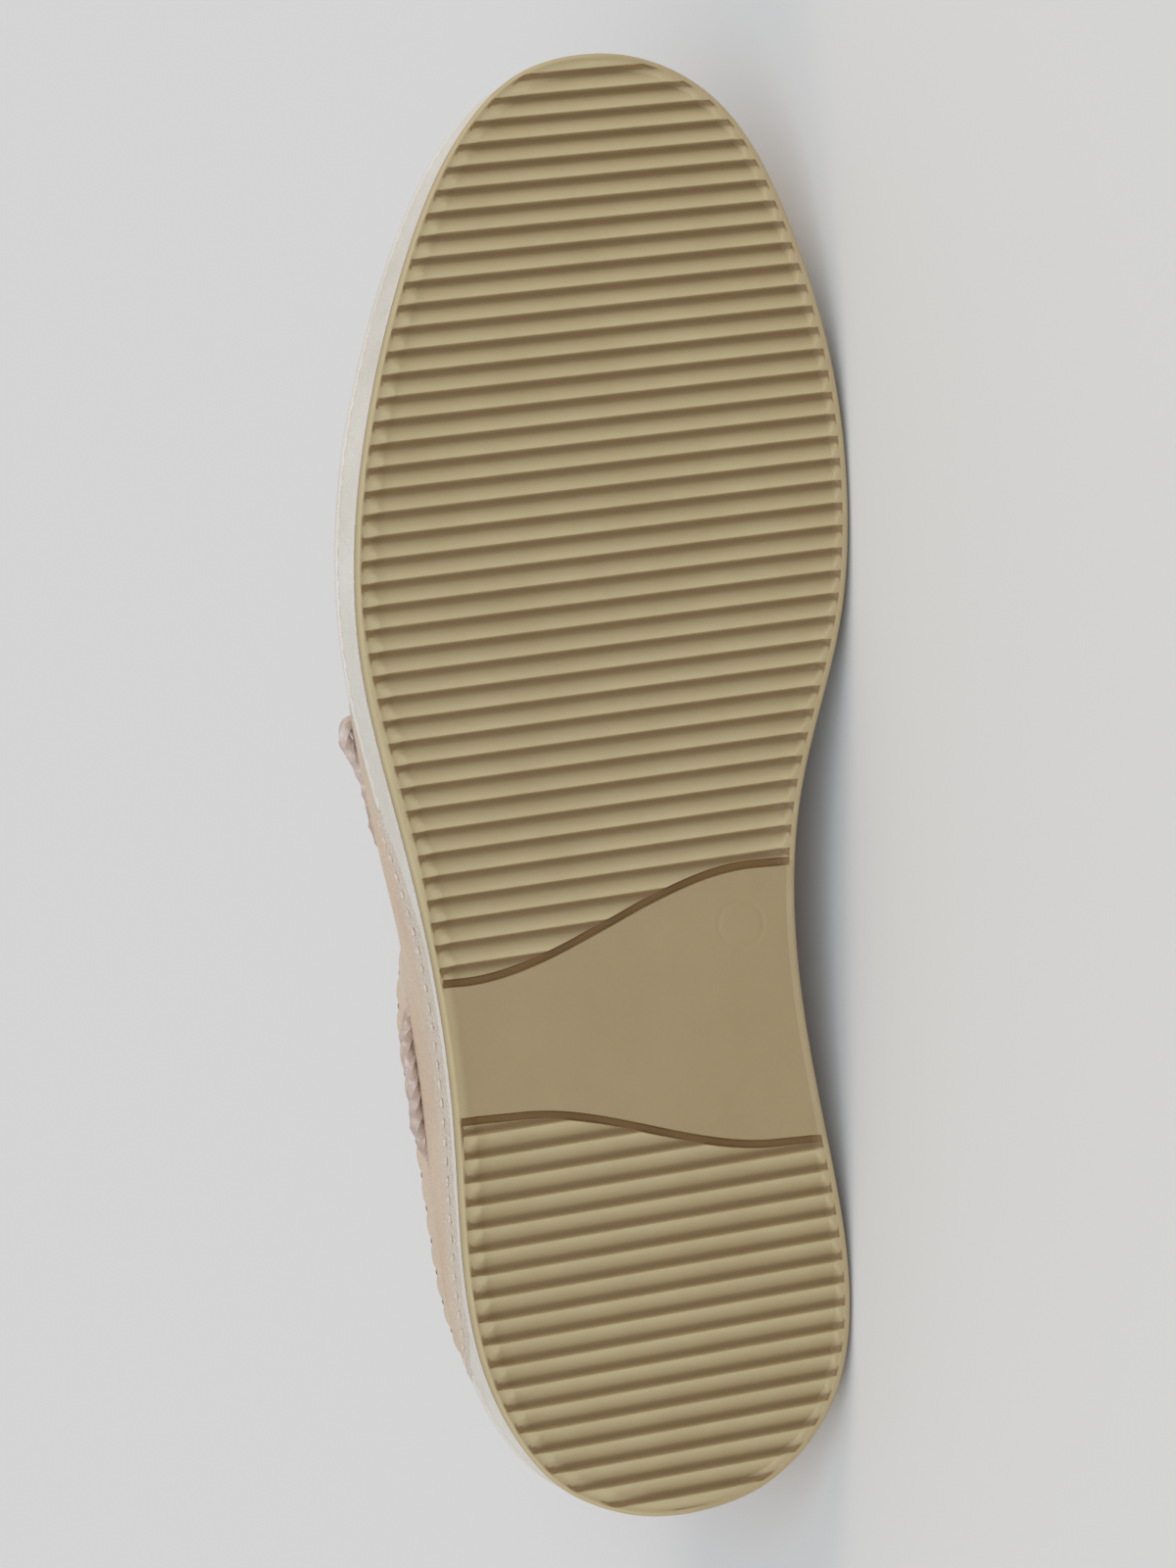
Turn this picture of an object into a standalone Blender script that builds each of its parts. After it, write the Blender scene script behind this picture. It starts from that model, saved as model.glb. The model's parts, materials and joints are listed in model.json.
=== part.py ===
"""A right-foot, low-cut lace-up shoe: ribbed rubber sole, hollow leather upper, lying on its inner side."""

import math

import bmesh
import bpy
import numpy as np
from mathutils import Matrix, Vector
from mathutils.geometry import delaunay_2d_cdt, intersect_point_tri

# Sizes and tables are in millimetres, in the shoe's own axes:
# x from the heel to the toe, y towards the inner side of the foot, z up from the tread.
MM = 0.001

SOLE_LENGTH = 263.2
TOE_SPRING = 13.0
TOE_BREAK = 157.0
HEEL_SPRING = 1.6
HEEL_BREAK = 26.0
OUTSOLE_THICK = 4.5
MIDSOLE_THICK = 10.8
SEAT_GAP = 0.3
WALL_THICK = 1.9
QUARTER_STEP = 1.0
INSOLE_THICK = 3.0
INSOLE_CLEAR = 0.6
LACE_RADIUS = 1.2

# The sole's edge: distance from the heel, then the inner and the outer edge from the long axis.
SOLE_OUTLINE = (
    # x, inner_y, outer_y
    (0.0, 1.3, 1.3),
    (2.5, 15.4, -11.4),
    (6.0, 21.6, -18.0),
    (16.0, 30.6, -26.9),
    (30.0, 35.3, -32.5),
    (48.0, 35.7, -34.7),
    (75.0, 32.4, -34.6),
    (103.0, 30.5, -36.6),
    (130.0, 34.1, -41.2),
    (155.0, 42.4, -45.2),
    (180.0, 46.3, -44.3),
    (205.0, 45.7, -38.7),
    (228.0, 41.4, -30.3),
    (244.0, 36.2, -22.0),
    (255.0, 28.9, -13.0),
    (261.5, 18.6, -2.4),
    (SOLE_LENGTH, 8.6, 8.6),
)
RING_COUNT = 96
FINE_COUNT = 720

# Ribs across the tread, counted from the arch.
FORE_PITCH = 4.03
HEEL_PITCH = 4.127
RIB_DEPTH = 1.4
RIB_SLANT = math.radians(3.5)
FORE_FIRST_GROOVE = 99.1
FORE_GROOVES = 42
HEEL_FIRST_GROOVE = 78.2
HEEL_GROOVES = 20
# One rib from groove to groove, towards the toe.
RIB_PROFILE = (
    # share of the pitch, share of the depth
    (0.00, 1.00),
    (0.10, 1.00),
    (0.17, 0.00),
    (0.46, 0.24),
    (0.90, 1.00),
    (1.00, 1.00),
)
# The smooth rim round the tread, and how far in the grooves reach their full depth on each side.
RIM_WIDTH = 1.2
INNER_RIM_SLOPE = 2.4
OUTER_RIM_SLOPE = 4.0
SHORTEST_RIB = 3.0
MERGE_DISTANCE = 1e-4

# The outsole's side: inset from the outline and height.
OUTSOLE_SIDE = (
    # inset, height
    (0.6, 0.0),
    (0.2, 0.35),
    (0.0, 1.0),
    (0.0, OUTSOLE_THICK),
)

# The S-shaped grooves that bound the arch panel: x at the outer and the inner edge, and where each bends.
ARCH_GROOVES = (
    # outer_x, inner_x, bend_from_y, bend_to_y
    (98.6, 115.2, -32.0, 24.0),
    (74.1, 64.8, -22.0, 24.0),
)
ARCH_GROOVE_HALF = 0.9
ARCH_GROOVE_WALL = 0.3
ARCH_GROOVE_DEPTH = 1.4
ARCH_GROOVE_POINTS = 16
ARCH_PANEL_DEPTH = 0.5

# The midsole's side: inset from the outline on the inner and the outer side, and height over its underside.
MIDSOLE_SIDE = (
    # inner_inset, outer_inset, height
    (1.2, 0.5, 0.0),
    (1.0, 0.2, 0.8),
    (2.0, -0.6, 8.6),
    (2.6, 0.6, 9.4),
    (2.6, 0.6, MIDSOLE_THICK),
)
# How much further the midsole's outer side stands out round the heel and the forefoot.
MIDSOLE_PROUD = (
    # x, proud
    (0.0, 1.2),
    (20.0, 1.0),
    (55.0, 0.0),
    (155.0, 0.0),
    (195.0, 0.9),
    (230.0, 0.9),
    (SOLE_LENGTH, 0.5),
)

# Sections of the upper, from the heel to the toe: where each starts on the sole's edge, its inset there,
# the rim that it climbs to, and how its wall is pulled at the sole (lift, flare) and at the rim
# (reach, drop).
UPPER_SECTIONS = (
    # sole_x, inner_inset, outer_inset, rim_x, rim_inner_y, rim_outer_y, rim_z, lift, flare, reach, drop
    (0.0, 3.0, 3.0, 9.0, -0.5, -0.5, 71.0, 22.0, 2.6, 1.0, 22.0),
    (12.0, 3.6, 2.8, 16.5, 16.5, -17.5, 67.5, 21.0, 1.4, 0.5, 20.0),
    (36.0, 3.9, 2.2, 36.0, 25.0, -26.0, 59.5, 20.0, 0.4, 0.3, 18.0),
    (68.0, 3.6, 2.2, 66.0, 28.0, -29.6, 55.0, 18.0, -0.5, 0.3, 16.0),
    (95.0, 3.6, 2.2, 92.0, 30.0, -29.9, 60.5, 19.0, -0.3, 1.2, 18.0),
    (118.0, 3.6, 1.8, 112.0, 23.0, -24.2, 66.5, 25.0, 1.0, 7.0, 18.0),
    (145.0, 3.9, 2.2, 130.0, 17.0, -17.5, 65.0, 26.0, 1.0, 14.0, 13.0),
    (178.0, 4.4, 3.0, 143.0, 13.5, -13.5, 61.6, 25.0, 0.6, 24.0, 10.0),
    (215.0, 4.6, 3.6, 150.0, 9.0, -9.0, 60.0, 25.0, 0.6, 38.0, 10.0),
    (248.0, 4.6, 4.0, 152.0, 4.6, -4.6, 60.2, 24.0, 1.4, 54.0, 13.0),
    (SOLE_LENGTH, 4.4, 4.4, 152.4, 0.0, 0.0, 60.4, 24.0, 2.0, 60.0, 14.0),
)
UPPER_COLUMNS = 80
UPPER_ROWS = 10
# The quarters overlap the vamp along the section that starts here on the sole's edge.
QUARTER_SEAM_X = 150.0
QUARTER_SEAM_HALF = 0.004

# The tongue, from its end under the vamp to its top.
TONGUE_SECTIONS = (
    # x, top_z, half_width
    (168.0, 52.6, 13.0),
    (154.0, 57.0, 15.5),
    (140.0, 62.4, 16.5),
    (125.0, 68.6, 17.5),
    (110.0, 75.0, 17.0),
    (99.0, 80.2, 14.0),
    (95.0, 82.0, 9.0),
)
TONGUE_CROWN = 30.0
TONGUE_THICK = 2.2
TONGUE_STEP = 5.0
TONGUE_ACROSS = 10

# Eyelets: where their section starts on the sole's edge, and how far up the wall they sit.
EYELETS = {
    # place: (sole_x, share of the wall)
    "front": (166.0, 0.90),
    "top": (136.0, 0.88),
}
EYELET_RADIUS = 3.3
EYELET_BORE = 1.8
EYELET_HEIGHT = 0.9
EYELET_BEVEL = 0.4
EYELET_SIDES = 12

# The tied lace: the knot over the tongue, and what its loop and its end pass on the outer side.
KNOT_PLACE = (117.0, 0.0, 77.5)
KNOT_SIZE = (4.6, 5.2, 3.4)
KNOT_SIDES = 10
STRAND_END = (0.0, 5.5, -2.4)
BAR_ARCH = 1.2
OUTER_LOOP = (
    # x, y, z
    (117.0, -5.6, 79.0),
    (116.0, -16.0, 76.5),
    (117.5, -25.5, 70.0),
    (123.0, -31.0, 64.2),
    (131.0, -33.0, 61.2),
    (137.0, -34.8, 60.2),
    (141.2, -37.0, 59.8),
    (144.6, -37.2, 60.0),
    (145.6, -35.6, 60.6),
    (143.0, -34.5, 61.0),
    (139.4, -32.8, 61.8),
    (135.0, -25.6, 66.6),
    (129.5, -14.6, 72.8),
    (121.2, -4.0, 76.4),
)
OUTER_END = (
    # x, y, z
    (113.2, -3.8, 78.4),
    (106.5, -12.0, 79.6),
    (101.0, -20.5, 76.4),
    (97.0, -28.0, 65.4),
)
INNER_SHARE = 0.84
LACE_STEP = 4.0
# The lace along the outer quarter: its two ends on the sole's edge, its share of the wall and its sag.
SIDE_LACE_SPAN = (93.4, 65.2)
SIDE_LACE_SHARE = 0.66
SIDE_LACE_SAG = 0.05
SIDE_LACE_POINTS = 6

# Weight of each material in kilograms per cubic metre, for where the shoe settles.
RUBBER_DENSITY = 1200.0
LEATHER_DENSITY = 900.0
# A face of the hull with at least this share of its direction along y is on the inner side.
FACES_INWARDS = 0.6

# Colours (red, green, blue), roughness and metallic share.
FINISHES = {
    "gum_rubber": ((0.42, 0.34, 0.20), 0.55, 0.0),
    "white_midsole": ((0.78, 0.77, 0.74), 0.6, 0.0),
    "blush_leather": ((0.64, 0.57, 0.52), 0.45, 0.0),
    "insole_leather": ((0.62, 0.50, 0.38), 0.65, 0.0),
    "lace_leather": ((0.46, 0.35, 0.30), 0.4, 0.0),
    "eyelet_brass": ((0.70, 0.52, 0.30), 0.3, 1.0),
}
SHARP_ANGLE = math.radians(38)
FULL_TURN = 2 * math.pi


def periodic_spline(knots, values):
    """A smooth closed curve through the values at rising knots, as a function of the turn."""
    count = len(knots)
    gaps = np.diff(np.append(knots, knots[0] + FULL_TURN))[:, None]
    slopes = (np.roll(values, -1, axis=0) - values) / gaps
    system = np.zeros((count, count))
    for i in range(count):
        system[i, i - 1] += gaps[i - 1, 0]
        system[i, i] += 2 * (gaps[i - 1, 0] + gaps[i, 0])
        system[i, (i + 1) % count] += gaps[i, 0]
    bends = np.linalg.solve(system, 6 * (slopes - np.roll(slopes, 1, axis=0)))

    def at(position):
        place = (np.atleast_1d(position) - knots[0]) % FULL_TURN + knots[0]
        i = np.searchsorted(knots, place, side="right") - 1
        j = (i + 1) % count
        width = gaps[i]
        after = (place - knots[i])[:, None]
        before = width - after
        straight = (values[i] * before + values[j] * after) / width
        from_left = bends[i] * (before**3 / width - before * width)
        from_right = bends[j] * (after**3 / width - after * width)
        return straight + (from_left + from_right) / 6

    return at


def smooth_path(points, step):
    """Points about a step apart on a smooth curve through the given ones."""
    points = np.array(points)
    ends = np.vstack([2 * points[0] - points[1], points, 2 * points[-1] - points[-2]])
    path = [points[0]]
    for a, b, c, d in zip(ends, ends[1:], ends[2:], ends[3:]):
        count = max(1, round(np.linalg.norm(c - b) / step))
        for t in np.arange(1, count + 1) / count:
            pull = (c - a) * t + (2 * a - 5 * b + 4 * c - d) * t**2 + (3 * b - a - 3 * c + d) * t**3
            path.append(b + pull / 2)
    return np.array(path)


def smooth_step(share):
    share = np.clip(share, 0, 1)
    return share * share * (3 - 2 * share)


def turn_at(x):
    """Position round the sole on its inner side, from 0 at the heel to half a turn at the toe."""
    return np.arccos(np.clip(1 - 2 * np.asarray(x) / SOLE_LENGTH, -1, 1))


def round_the_shoe(table, inner_columns, outer_columns):
    """A closed curve through a heel-to-toe table, up the inner side and back down the outer side."""
    rows = np.array(table)
    turns = turn_at(rows[:, 0])
    knots = np.concatenate([turns, FULL_TURN - turns[-2:0:-1]])
    values = np.concatenate([rows[:, inner_columns], rows[-2:0:-1, outer_columns]])
    return periodic_spline(knots, values)


EDGE_Y = round_the_shoe(SOLE_OUTLINE, [1], [2])
SECTION = round_the_shoe(UPPER_SECTIONS, [1, 3, 4, 6, 7, 8, 9, 10], [2, 3, 5, 6, 7, 8, 9, 10])


def edge_plan(turn):
    turn = np.atleast_1d(turn)
    return np.stack([SOLE_LENGTH / 2 * (1 - np.cos(turn)), EDGE_Y(turn)[:, 0]], axis=1)


def sole_edge(turn):
    """Points of the sole's edge in plan, and the outward directions there."""
    nudge = 1e-4
    along = edge_plan(turn + nudge) - edge_plan(turn - nudge)
    along /= np.linalg.norm(along, axis=1)[:, None]
    return edge_plan(turn), np.stack([-along[:, 1], along[:, 0]], axis=1)


def ring_turns(count):
    return np.arange(count) * FULL_TURN / count


def sole_ring(inset, count=RING_COUNT):
    """The sole's edge moved inwards, in plan, from the heel up the inner side and back."""
    points, outward = sole_edge(ring_turns(count))
    return points - outward * np.reshape(inset, (-1, 1))


def ground_rise(x):
    """How far the underside stands off the ground: toe spring and a rounded heel."""
    toe = np.clip((x - TOE_BREAK) / (SOLE_LENGTH - TOE_BREAK), 0, None)
    heel = np.clip((HEEL_BREAK - x) / HEEL_BREAK, 0, None)
    return TOE_SPRING * toe**2 + HEEL_SPRING * heel**2


def lifted(plan, height):
    """Points in plan, raised to a height over the curved underside."""
    return np.column_stack([plan, ground_rise(plan[:, 0]) + height])


MIDSOLE_BASE = OUTSOLE_THICK + SEAT_GAP
SEAT_HEIGHT = MIDSOLE_BASE + MIDSOLE_THICK + SEAT_GAP


def finish_of(name):
    if name in bpy.data.materials:
        return bpy.data.materials[name]
    colour, roughness, metallic = FINISHES[name]
    material = bpy.data.materials.new(name)
    material.use_nodes = True
    shader = material.node_tree.nodes["Principled BSDF"]
    shader.inputs["Base Color"].default_value = (*colour, 1)
    shader.inputs["Roughness"].default_value = roughness
    shader.inputs["Metallic"].default_value = metallic
    material.diffuse_color = (*colour, 1)
    return material


def add_object(name, data, finish):
    data.materials.append(finish_of(finish))
    thing = bpy.data.objects.new(name, data)
    bpy.context.scene.collection.objects.link(thing)
    return thing


def add_solid(name, points, faces, finish):
    """A closed mesh from points in millimetres, its faces turned outwards."""
    mesh = bpy.data.meshes.new(name)
    mesh.from_pydata((np.array(points) * MM).tolist(), [], faces)
    shaped = bmesh.new()
    shaped.from_mesh(mesh)
    bmesh.ops.recalc_face_normals(shaped, faces=shaped.faces)
    shaped.to_mesh(mesh)
    shaped.free()
    mesh.shade_smooth()
    mesh.set_sharp_from_angle(angle=SHARP_ANGLE)
    return add_object(name, mesh, finish)


def side_faces(rings, count):
    """Quads between rings of points that follow each other."""
    return [
        (r * count + i, r * count + (i + 1) % count, (r + 1) * count + (i + 1) % count, (r + 1) * count + i)
        for r in range(rings - 1)
        for i in range(count)
    ]


def tube_faces(rings, count):
    """Quads between rings that follow each other, the last one joined to the first."""
    last = (rings - 1) * count
    closing = [(last + i, last + (i + 1) % count, (i + 1) % count, i) for i in range(count)]
    return side_faces(rings, count) + closing


def cap_faces(start, count):
    """Strips across a ring, from its inner to its outer side."""
    half = count // 2
    strips = [(start, start + 1, start + count - 1)]
    for i in range(1, half - 1):
        strips.append((start + i, start + i + 1, start + count - i - 1, start + count - i))
    strips.append((start + half - 1, start + half, start + half + 1))
    return strips


def arch_groove_x(groove, y):
    outer_x, inner_x, bend_from, bend_to = groove
    return outer_x + (inner_x - outer_x) * smooth_step((y - bend_from) / (bend_to - bend_from))


def groove_places(first, count, pitch):
    """Where the grooves cross the long axis, a pitch apart along the curved underside."""
    places = [first]
    for _ in range(count - 1):
        slope = ground_rise(places[-1] + 0.5) - ground_rise(places[-1] - 0.5)
        places.append(places[-1] + pitch / math.hypot(1, slope))
    return np.sort(places)


FORE_PLACES = groove_places(FORE_FIRST_GROOVE, FORE_GROOVES, FORE_PITCH)
HEEL_PLACES = groove_places(HEEL_FIRST_GROOVE, HEEL_GROOVES, -HEEL_PITCH)
FINE_EDGE = sole_ring(0.0, FINE_COUNT)
# Places across the tread at which a line is tested against the rim.
ACROSS_TREAD = np.arange(-48.0, 48.0, 0.25)


def edge_span(x):
    """The sole's outer and inner edge at a distance from the heel."""
    turn = turn_at(x)
    return EDGE_Y(np.array([-turn, turn]))[:, 0]


def from_edge(x, y):
    """Distance in from the sole's edge, 0 outside it."""
    away = np.hypot(FINE_EDGE[:, 0] - x, FINE_EDGE[:, 1] - y).min()
    outer_y, inner_y = edge_span(x)
    return away if outer_y < y < inner_y else 0.0


def rib_depth(x, y, places, heel):
    """Depth of a ribbed pad, whose steps face the heel at the forefoot and the toe at the heel."""
    along = x - y * math.tan(RIB_SLANT)
    i = int(np.clip(np.searchsorted(places, along) - 1, 0, len(places) - 2))
    share = (along - places[i]) / (places[i + 1] - places[i])
    shares, depths = np.transpose(RIB_PROFILE)
    return RIB_DEPTH * np.interp(1 - share if heel else share, shares, depths)


def rim_slope(inner_share):
    """How wide the run from the rim down to the full depth is, from the outer to the inner side."""
    return OUTER_RIM_SLOPE + (INNER_RIM_SLOPE - OUTER_RIM_SLOPE) * inner_share


def tread_depth(x, y):
    """How deep the underside is cut at a point."""
    outer_y, inner_y = edge_span(x)
    slope = rim_slope(smooth_step((y - outer_y) / max(inner_y - outer_y, MERGE_DISTANCE)))
    inside = np.clip((from_edge(x, y) - RIM_WIDTH) / slope, 0, 1)
    front = x - arch_groove_x(ARCH_GROOVES[0], y)
    rear = arch_groove_x(ARCH_GROOVES[1], y) - x
    depth = ARCH_PANEL_DEPTH
    if front > 0:
        depth = rib_depth(x, y, FORE_PLACES, False)
    elif rear > 0:
        depth = rib_depth(x, y, HEEL_PLACES, True)
    off_groove = min(abs(front), abs(rear))
    in_groove = np.clip((ARCH_GROOVE_HALF - off_groove) / ARCH_GROOVE_WALL, 0, 1)
    return inside * (depth + (ARCH_GROOVE_DEPTH - depth) * in_groove)


def inside_stretch(line):
    """The first and last point of a line that lie within the rim, or nothing."""
    within = [p for p in line if from_edge(*p) > RIM_WIDTH]
    if len(within) < 2 or math.dist(within[0], within[-1]) < SHORTEST_RIB:
        return []
    return [within[0], within[-1]]


def rib_lines():
    """The straight edges of the ribs, each cut off at the rim and at the arch groove."""
    lines = []
    for places, groove, towards in ((FORE_PLACES, ARCH_GROOVES[0], 1), (HEEL_PLACES, ARCH_GROOVES[1], -1)):
        shares = [share if towards > 0 else 1 - share for share, _ in RIB_PROFILE[1:-1]]
        for a, b in zip(places, places[1:]):
            for share in shares:
                along = a + (b - a) * share + ACROSS_TREAD * math.tan(RIB_SLANT)
                ahead = (along - arch_groove_x(groove, ACROSS_TREAD)) * towards > 0
                lines.append(inside_stretch(list(zip(along[ahead], ACROSS_TREAD[ahead]))))
    return [line for line in lines if line]


def arch_lines():
    """The edges of the two arch grooves, from rim to rim."""
    lines = []
    for groove in ARCH_GROOVES:
        for offset in (ARCH_GROOVE_HALF, ARCH_GROOVE_HALF - ARCH_GROOVE_WALL):
            for side in (-1, 1):
                along = arch_groove_x(groove, ACROSS_TREAD) + side * offset
                within = [p for p in zip(along, ACROSS_TREAD) if from_edge(*p) > RIM_WIDTH]
                picked = np.linspace(0, len(within) - 1, ARCH_GROOVE_POINTS).astype(int)
                lines.append([within[i] for i in picked])
    return lines


def tread_mesh(edge):
    """The underside inside an edge ring, as triangles whose corners lie on every rib and groove edge."""
    slopes = rim_slope((1 + np.sin(ring_turns(RING_COUNT))) / 2)
    rings = [edge, sole_ring(RIM_WIDTH), sole_ring(RIM_WIDTH + slopes)]
    spots = []
    edges = []
    for ring in rings:
        edges += [(len(spots) + i, len(spots) + (i + 1) % len(ring)) for i in range(len(ring))]
        spots += [tuple(p) for p in ring]
    for line in rib_lines() + arch_lines():
        edges += [(len(spots) + i, len(spots) + i + 1) for i in range(len(line) - 1)]
        spots += line
    inside_constraints = 1
    corners = [Vector(p) for p in spots]
    meshed = delaunay_2d_cdt(corners, edges, [], inside_constraints, MERGE_DISTANCE)
    spots, _, faces, sources = meshed[:4]
    points = [(p.x, p.y, float(ground_rise(p.x) + tread_depth(p.x, p.y))) for p in spots]
    place_of = {source: i for i, found in enumerate(sources) for source in found}
    return points, faces, [place_of[i] for i in range(len(edge))]


def build_outsole():
    rings = [lifted(sole_ring(inset), height) for inset, height in OUTSOLE_SIDE]
    points, faces, border = tread_mesh(rings[0][:, :2])
    start = len(points)
    for ring in rings[1:]:
        points += ring.tolist()
    for i in range(RING_COUNT):
        j = (i + 1) % RING_COUNT
        faces.append((border[i], border[j], start + j, start + i))
    upper_rings = len(rings) - 1
    faces += [tuple(start + i for i in face) for face in side_faces(upper_rings, RING_COUNT)]
    faces += cap_faces(start + (upper_rings - 1) * RING_COUNT, RING_COUNT)
    return add_solid("outsole", points, faces, "gum_rubber")


def build_slab(name, rings, finish):
    """A solid between stacked rings, closed by a strip cap at each end."""
    count = len(rings[0])
    faces = side_faces(len(rings), count)
    faces += cap_faces(0, count) + cap_faces((len(rings) - 1) * count, count)
    return add_solid(name, np.vstack(rings), faces, finish)


def build_midsole():
    turns = ring_turns(RING_COUNT)
    inner_share = (1 + np.sin(turns)) / 2
    proud = np.interp(edge_plan(turns)[:, 0], *np.transpose(MIDSOLE_PROUD))
    rings = []
    for inner_inset, outer_inset, height in MIDSOLE_SIDE:
        bulge = proud * height / MIDSOLE_THICK
        inset = outer_inset - bulge + (inner_inset - outer_inset + bulge) * inner_share
        rings.append(lifted(sole_ring(inset), MIDSOLE_BASE + height))
    return build_slab("midsole", rings, "white_midsole")


def build_insole():
    inset = SECTION(ring_turns(RING_COUNT))[:, 0] + WALL_THICK + INSOLE_CLEAR
    plan = sole_ring(inset)
    rings = [lifted(plan, SEAT_HEIGHT), lifted(plan, SEAT_HEIGHT + INSOLE_THICK)]
    return build_slab("insole", rings, "insole_leather")


def wall_skin(turn, share):
    """The last's surface: a curve from the sole's edge (share 0) up to the rim (share 1)."""
    turn = np.atleast_1d(turn)
    inset, rim_x, rim_y, rim_z, lift, flare, reach, drop = SECTION(turn).T[:, :, None]
    edge, outward = sole_edge(turn)
    up = np.array([[0.0, 0.0, 1.0]])
    out = np.column_stack([outward, np.zeros(len(turn))])
    foot = lifted(edge - outward * inset, SEAT_HEIGHT)
    rim = np.column_stack([rim_x, rim_y, rim_z])
    towards_foot = (foot - rim) * (1, 1, 0)
    towards_foot /= np.linalg.norm(towards_foot, axis=1)[:, None]
    low = foot + up * lift + out * flare
    high = rim + towards_foot * reach - up * drop
    t = np.reshape(share, (-1, 1))
    return foot * (1 - t) ** 3 + low * 3 * t * (1 - t) ** 2 + high * 3 * t**2 * (1 - t) + rim * t**3


def wall_normal(turn, share):
    """The outward direction of the last's surface."""
    nudge = 1e-3
    share = np.clip(share, nudge, 1 - nudge)
    round_it = wall_skin(turn + nudge, share) - wall_skin(turn - nudge, share)
    upwards = wall_skin(turn, share + nudge) - wall_skin(turn, share - nudge)
    normal = np.cross(upwards, round_it)
    return normal / np.linalg.norm(normal, axis=1)[:, None]


SEAM_TURN = float(turn_at(QUARTER_SEAM_X))


def quarter_share(turn):
    """1 on the quarters, 0 on the vamp, with a short step at the seam on each side."""
    from_heel = np.abs((turn + math.pi) % FULL_TURN - math.pi)
    return np.clip((SEAM_TURN + QUARTER_SEAM_HALF - from_heel) / (2 * QUARTER_SEAM_HALF), 0, 1)


def wall_outside(turn, share):
    """The upper's outer face, with the quarters a step proud of the vamp."""
    turn = np.atleast_1d(turn)
    proud = QUARTER_STEP * quarter_share(turn)[:, None]
    return wall_skin(turn, share) + wall_normal(turn, share) * proud


def upper_turns():
    """Columns round the upper, with a pair of close ones at each end of the quarters."""
    pair = np.array((-QUARTER_SEAM_HALF, QUARTER_SEAM_HALF))
    seams = np.concatenate([SEAM_TURN + pair, FULL_TURN - SEAM_TURN + pair])
    clear = 0.3 * FULL_TURN / UPPER_COLUMNS
    plain = [t for t in ring_turns(UPPER_COLUMNS) if np.abs(seams - t).min() > clear]
    return np.sort(np.concatenate([plain, seams]))


def build_upper():
    turns = upper_turns()
    shares = np.linspace(0, 1, UPPER_ROWS + 1)
    outside = [wall_outside(turns, share) for share in shares]
    inside = [wall_skin(turns, share) - wall_normal(turns, share) * WALL_THICK for share in shares]
    inside[0][:, 2] = np.maximum(inside[0][:, 2], outside[0][:, 2])
    rings = outside + inside[::-1]
    return add_solid("upper", np.vstack(rings), tube_faces(len(rings), len(turns)), "blush_leather")


def build_tongue():
    path = smooth_path(TONGUE_SECTIONS, TONGUE_STEP)
    across = np.sin(np.linspace(-1, 1, TONGUE_ACROSS + 1) * math.pi / 2)
    rings = []
    for x, top_z, half_width in path:
        y = across * half_width
        top = np.column_stack([np.full(len(y), x), y, top_z - y**2 / (2 * TONGUE_CROWN)])
        below = top - (0, 0, TONGUE_THICK)
        rings.append(np.vstack([top, below[::-1]]))
    count = len(rings[0])
    faces = side_faces(len(rings), count)
    for start in (0, (len(rings) - 1) * count):
        for i in range(TONGUE_ACROSS):
            faces.append((start + i, start + i + 1, start + count - i - 2, start + count - i - 1))
    return add_solid("tongue", np.vstack(rings), faces, "blush_leather")


def eyelet_seat(place, side):
    """Where an eyelet sits on the upper, and the direction that it faces: side 1 is inner, -1 outer."""
    sole_x, share = EYELETS[place]
    turn = np.atleast_1d(side * turn_at(sole_x))
    return wall_outside(turn, share)[0], wall_normal(turn, share)[0]


def build_eyelet(name, place, side):
    seat, facing = eyelet_seat(place, side)
    profile = (
        (EYELET_RADIUS, 0.0),
        (EYELET_RADIUS, EYELET_HEIGHT - EYELET_BEVEL),
        (EYELET_RADIUS - EYELET_BEVEL, EYELET_HEIGHT),
        (EYELET_BORE, EYELET_HEIGHT),
        (EYELET_BORE, 0.0),
    )
    around = ring_turns(EYELET_SIDES)
    circle = np.column_stack([np.cos(around), np.sin(around), np.zeros(EYELET_SIDES)])
    rings = [circle * radius + (0, 0, height) for radius, height in profile]
    eyelet = add_solid(name, np.vstack(rings), tube_faces(len(rings), EYELET_SIDES), "eyelet_brass")
    eyelet.rotation_euler = Vector(facing).to_track_quat("Z", "Y").to_euler()
    eyelet.location = Vector((seat + facing * SEAT_GAP) * MM)
    return eyelet


def build_lace(name, points):
    """A round leather lace along a smooth path, with flat ends."""
    path = smooth_path(points, LACE_STEP) * MM
    curve = bpy.data.curves.new(name, "CURVE")
    curve.dimensions = "3D"
    curve.bevel_depth = LACE_RADIUS * MM
    curve.bevel_resolution = 2
    curve.use_fill_caps = True
    spline = curve.splines.new("POLY")
    spline.points.add(len(path) - 1)
    for spot, place in zip(spline.points, path):
        spot.co = (*place, 1)
    return add_object(name, curve, "lace_leather")


LACE_OVER_EYELET = SEAT_GAP + EYELET_HEIGHT + SEAT_GAP + LACE_RADIUS


def over_eyelet(place, side):
    """The lace over an eyelet's bore, and where it passes the eyelet's edge towards the throat."""
    seat, facing = eyelet_seat(place, side)
    bore = seat + facing * LACE_OVER_EYELET
    across = np.array((0.0, -side, 0.0))
    across -= facing * (across @ facing)
    return bore, bore + across / np.linalg.norm(across) * (EYELET_RADIUS + LACE_RADIUS)


def build_front_bar():
    """The bar of lace across the throat, from eyelet to eyelet over the tongue."""
    outer, outer_edge = over_eyelet("front", -1)
    inner, inner_edge = over_eyelet("front", 1)
    middle = (outer_edge + inner_edge) / 2 + (0, 0, BAR_ARCH)
    return build_lace("lace_front_bar", [outer, outer_edge, middle, inner_edge, inner])


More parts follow.
